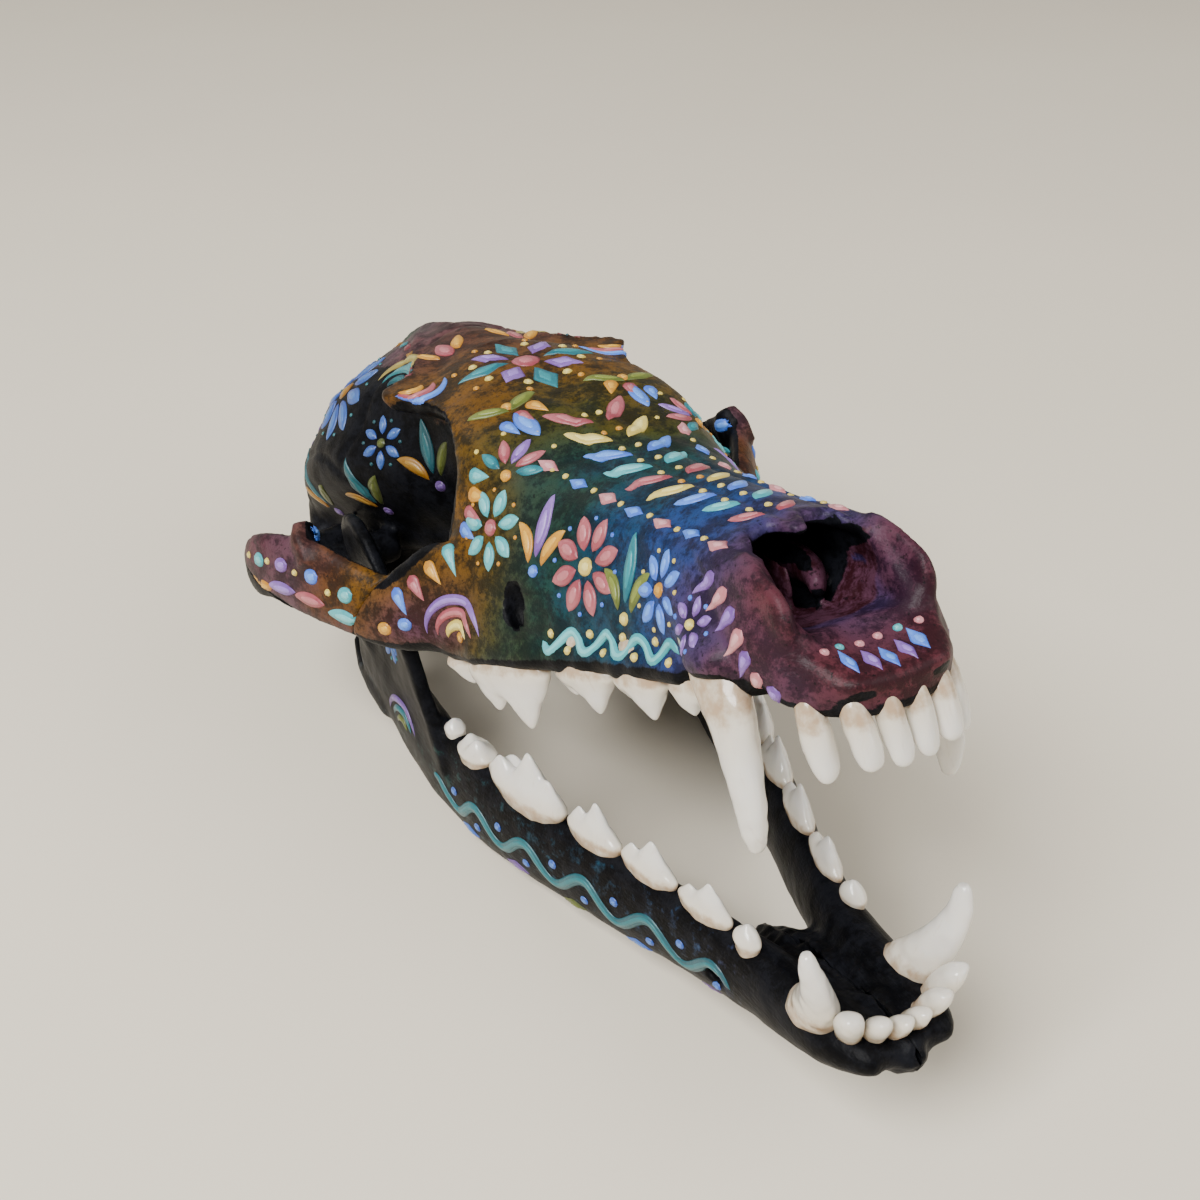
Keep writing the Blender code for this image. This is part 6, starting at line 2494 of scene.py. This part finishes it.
    def build(self, skins: Sequence[Skin], stance: Matrix) -> None:
        """Paints the cranium and both arches.

        Args:
            skins: the surfaces of the cranium, the left and the right arch.
            stance: where they go.
        """
        brush, shade_brush = Brushwork(self.seed), Brushwork(self.seed + 1)
        cranium, left, right = (Canvas(skin) for skin in skins)
        self.roof(brush, cranium)
        self.front(brush, cranium)
        for side, arch in ((1, left), (-1, right)):
            self.snout(brush, cranium, side)
            self.eye(brush, cranium, side)
            self.braincase(shade_brush, cranium, side)
            self.arch(brush, arch, side)
        brush.pieces("ornament", stance, HEAD_NODES, 1.0)
        # The braincase's strokes keep 0.45 of their brightness: painted shade.
        shade_brush.pieces("temple_ornament", stance, HEAD_NODES[:1], 0.45)


@dataclass
class JawOrnament:
    """The pattern on the outer faces of the lower jaw, dimmed for darker paint and as painted shade."""

    seed: int = 11

    def build(self, skins: Sequence[Skin], stance: Matrix) -> None:
        """Paints both halves.

        Args:
            skins: the surfaces of the left and the right half.
            stance: where they go.
        """
        brush = Brushwork(self.seed)
        sizes = (1.7, 10.6, 0.85, 0.66)
        arches = ((1.7, Tone.OLIVE), (3.2, Tone.TEAL), (4.7, Tone.LAVENDER))
        for skin, side in zip(skins, (1, -1)):
            canvas = Canvas(skin)
            tones = (Tone.TEAL, Tone.PERIWINKLE)
            brush.wave(canvas, side, (22.0, 78.0), lambda s: -9.4 - 0.03 * (s - 22.0), sizes, tones)
            for k in range(5):
                sheet = Sheet.beside(canvas, 27.4 + 10.6 * k, -13.9 - 0.2 * k, side)
                tone = (Tone.LAVENDER, Tone.PERIWINKLE, Tone.OLIVE)[k % 3]
                brush.petal(sheet, (-2.3, 0.0), 0.0, 4.8, 1.1, tone, Mark.DIAMOND)
            sheet = Sheet.beside(canvas, 90.0, 8.0, side)
            brush.rosette(sheet, 5.0, 8, Tone.PERIWINKLE, Tone.MUSTARD, Tone.AQUA)
            sheet = Sheet.beside(canvas, 88.0, -6.0, side)
            brush.arches(sheet, (0.0, -1.6), (15.0, 165.0), 0.6, arches)
        # The jaw's strokes keep 0.62 of their brightness: darker paint, and painted shade.
        brush.pieces("jaw_ornament", stance, JAW_NODES, 0.62)


@dataclass
class Studio:
    """The pale floor, the soft lights and the camera.

    Attributes:
        lens: the camera's focal length in millimetres, on a sensor 36 mm wide.
        eye: where the camera stands, in millimetres.
        right: its axis to the right.
        up: its axis upwards.
        back: its axis away from the skull.
        floor_radius: how far the floor reaches, in metres.
        floor_drop: how far it lies below the skull, in metres.
        floor_tones: its two tones.
        lamps: each soft light's name, place and side in metres, and power in watts.
        sky: the colour of the light from all around.
        sky_strength: how strong that is.
    """

    lens: float = 41.558
    eye: Row = (-65.7, -141.2, 137.1)
    right: Row = (0.8903, -0.4547, -0.0229)
    up: Row = (0.2775, 0.5022, 0.8190)
    back: Row = (-0.3609, -0.7356, 0.5733)
    floor_radius: float = 2.2
    floor_drop: float = 0.00005
    floor_tones: tuple[Row, Row] = ((0.76, 0.685, 0.55), (0.83, 0.755, 0.62))
    lamps: tuple[tuple[str, Row, float, float], ...] = (
        ("key", (-0.46, -0.22, 0.66), 0.40, 10.5),
        ("fill", (0.55, -0.50, 0.55), 0.7, 3.6),
        ("rim", (-0.25, 0.80, 0.60), 0.5, 1.2),
    )
    sky: Row = (0.96, 0.92, 0.86, 1.0)
    sky_strength: float = 0.42

    def floor(self) -> None:
        """Lays a plain pale floor."""
        shape = bmesh.new()
        bmesh.ops.create_circle(shape, cap_ends=True, segments=96, radius=self.floor_radius)
        bmesh.ops.translate(shape, vec=(0, 0, -self.floor_drop), verts=shape.verts)
        floor = new_object("floor", shape)
        made, graph, shader = new_material("pale_floor")
        cloud = graph.noise(graph.add("ShaderNodeTexCoord").outputs["Object"], 6.0, 4.0)
        graph.wire(shader, Base_Color=graph.mix(cloud, *self.floor_tones), Roughness=0.9)
        floor.data.materials.append(made)

    def lamp(self, name: str, place: Row, size: float, watts: float) -> None:
        """Hangs a square soft light that looks at the skull.

        Args:
            name: its name.
            place: where it hangs, in metres.
            size: its side, in metres.
            watts: its power.
        """
        lamp = bpy.data.lights.new(name, "AREA")
        lamp.size = size
        lamp.energy = watts
        made = bpy.data.objects.new(name, lamp)
        made.location = place
        made.rotation_euler = (Vector((0, 0, 0.03)) - Vector(place)).to_track_quat("-Z", "Y").to_euler()
        bpy.context.scene.collection.objects.link(made)

    def build(self) -> None:
        """Sets up the floor, the lights and the camera."""
        self.floor()
        for lamp in self.lamps:
            self.lamp(*lamp)
        world = bpy.data.worlds.new("soft_room")
        world.use_nodes = True
        background = world.node_tree.nodes["Background"]
        background.inputs["Color"].default_value = self.sky
        background.inputs["Strength"].default_value = self.sky_strength
        bpy.context.scene.world = world
        camera = bpy.data.objects.new("camera", bpy.data.cameras.new("camera"))
        camera.data.lens = self.lens
        camera.data.sensor_width = 36.0
        camera.data.clip_start = 0.01
        turned = Matrix((self.right, self.up, self.back)).transposed().to_4x4()
        camera.matrix_world = Matrix.Translation(Vector(self.eye) * MM) @ turned
        bpy.context.scene.collection.objects.link(camera)
        bpy.context.scene.camera = camera


def dress_head() -> None:
    """Builds and dresses the cranium and the two cheek arches."""
    stance = STANCE.head()
    ground = SpongedGround("painted_cranium", CRANIUM_TONES).build(stance)
    cheek_ground = SpongedGround("painted_cheek", CHEEK_TONES).build(stance)
    cranium = Cranium()
    bones = cranium.shape()
    skins = [Skin(bone) for bone in bones]
    cranium.relief(skins[0])
    for skin in skins[1:]:
        skin.lumps(7.0, 0.16, 6.0)
        skin.lumps(2.2, 0.08, 7.0)
    for skin in skins:
        skin.write()
    skins = [Skin(bone) for bone in bones]
    cranium.paint_marks(skins[0])
    for skin in skins[1:]:
        # Black on the arches' faces towards the braincase as painted shade, and under them as black paint.
        inward = skin.normals[:, 0] * np.sign(skin.points[:, 0])
        under = smooth_step(0.45, 0.8, -skin.normals[:, 2])
        skin.mark("dark", np.maximum(smooth_step(0.1, 0.5, -inward), under))
        for name in ("ochre", "plum"):
            skin.mark(name, np.zeros(len(skin.points)))
    HeadOrnament().build(skins, stance)
    for bone, node in zip(bones, HEAD_NODES):
        settle(bone, stance, ground if node == "cranium" else cheek_ground, node)


def dress_jaw() -> None:
    """Builds and dresses both halves of the lower jaw."""
    stance = STANCE.jaw()
    ground = SpongedGround("painted_jaw", JAW_TONES, roughness=0.42).build(stance)
    jaw = LowerJaw()
    halves = jaw.shape()
    for half in halves:
        skin = Skin(half)
        jaw.relief(skin)
        skin.write()
    skins = [Skin(half) for half in halves]
    JawOrnament().build(skins, stance)
    for half, skin, node in zip(halves, skins, JAW_NODES):
        jaw.paint_marks(skin)
        settle(half, stance, ground, node)


def main() -> None:
    """Builds the skull piece by piece and dresses it."""
    logging.basicConfig(level=logging.INFO, format="%(name)s: %(message)s")
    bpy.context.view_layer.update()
    dress_head()
    dress_jaw()
    for dentition, stance in ((UPPER_TEETH, STANCE.head()), (LOWER_TEETH, STANCE.jaw())):
        piece = dentition.build(stance, Enamel(f"{dentition.name}_enamel").build(stance))
    Studio().build()


if __name__ == "__main__":
    main()
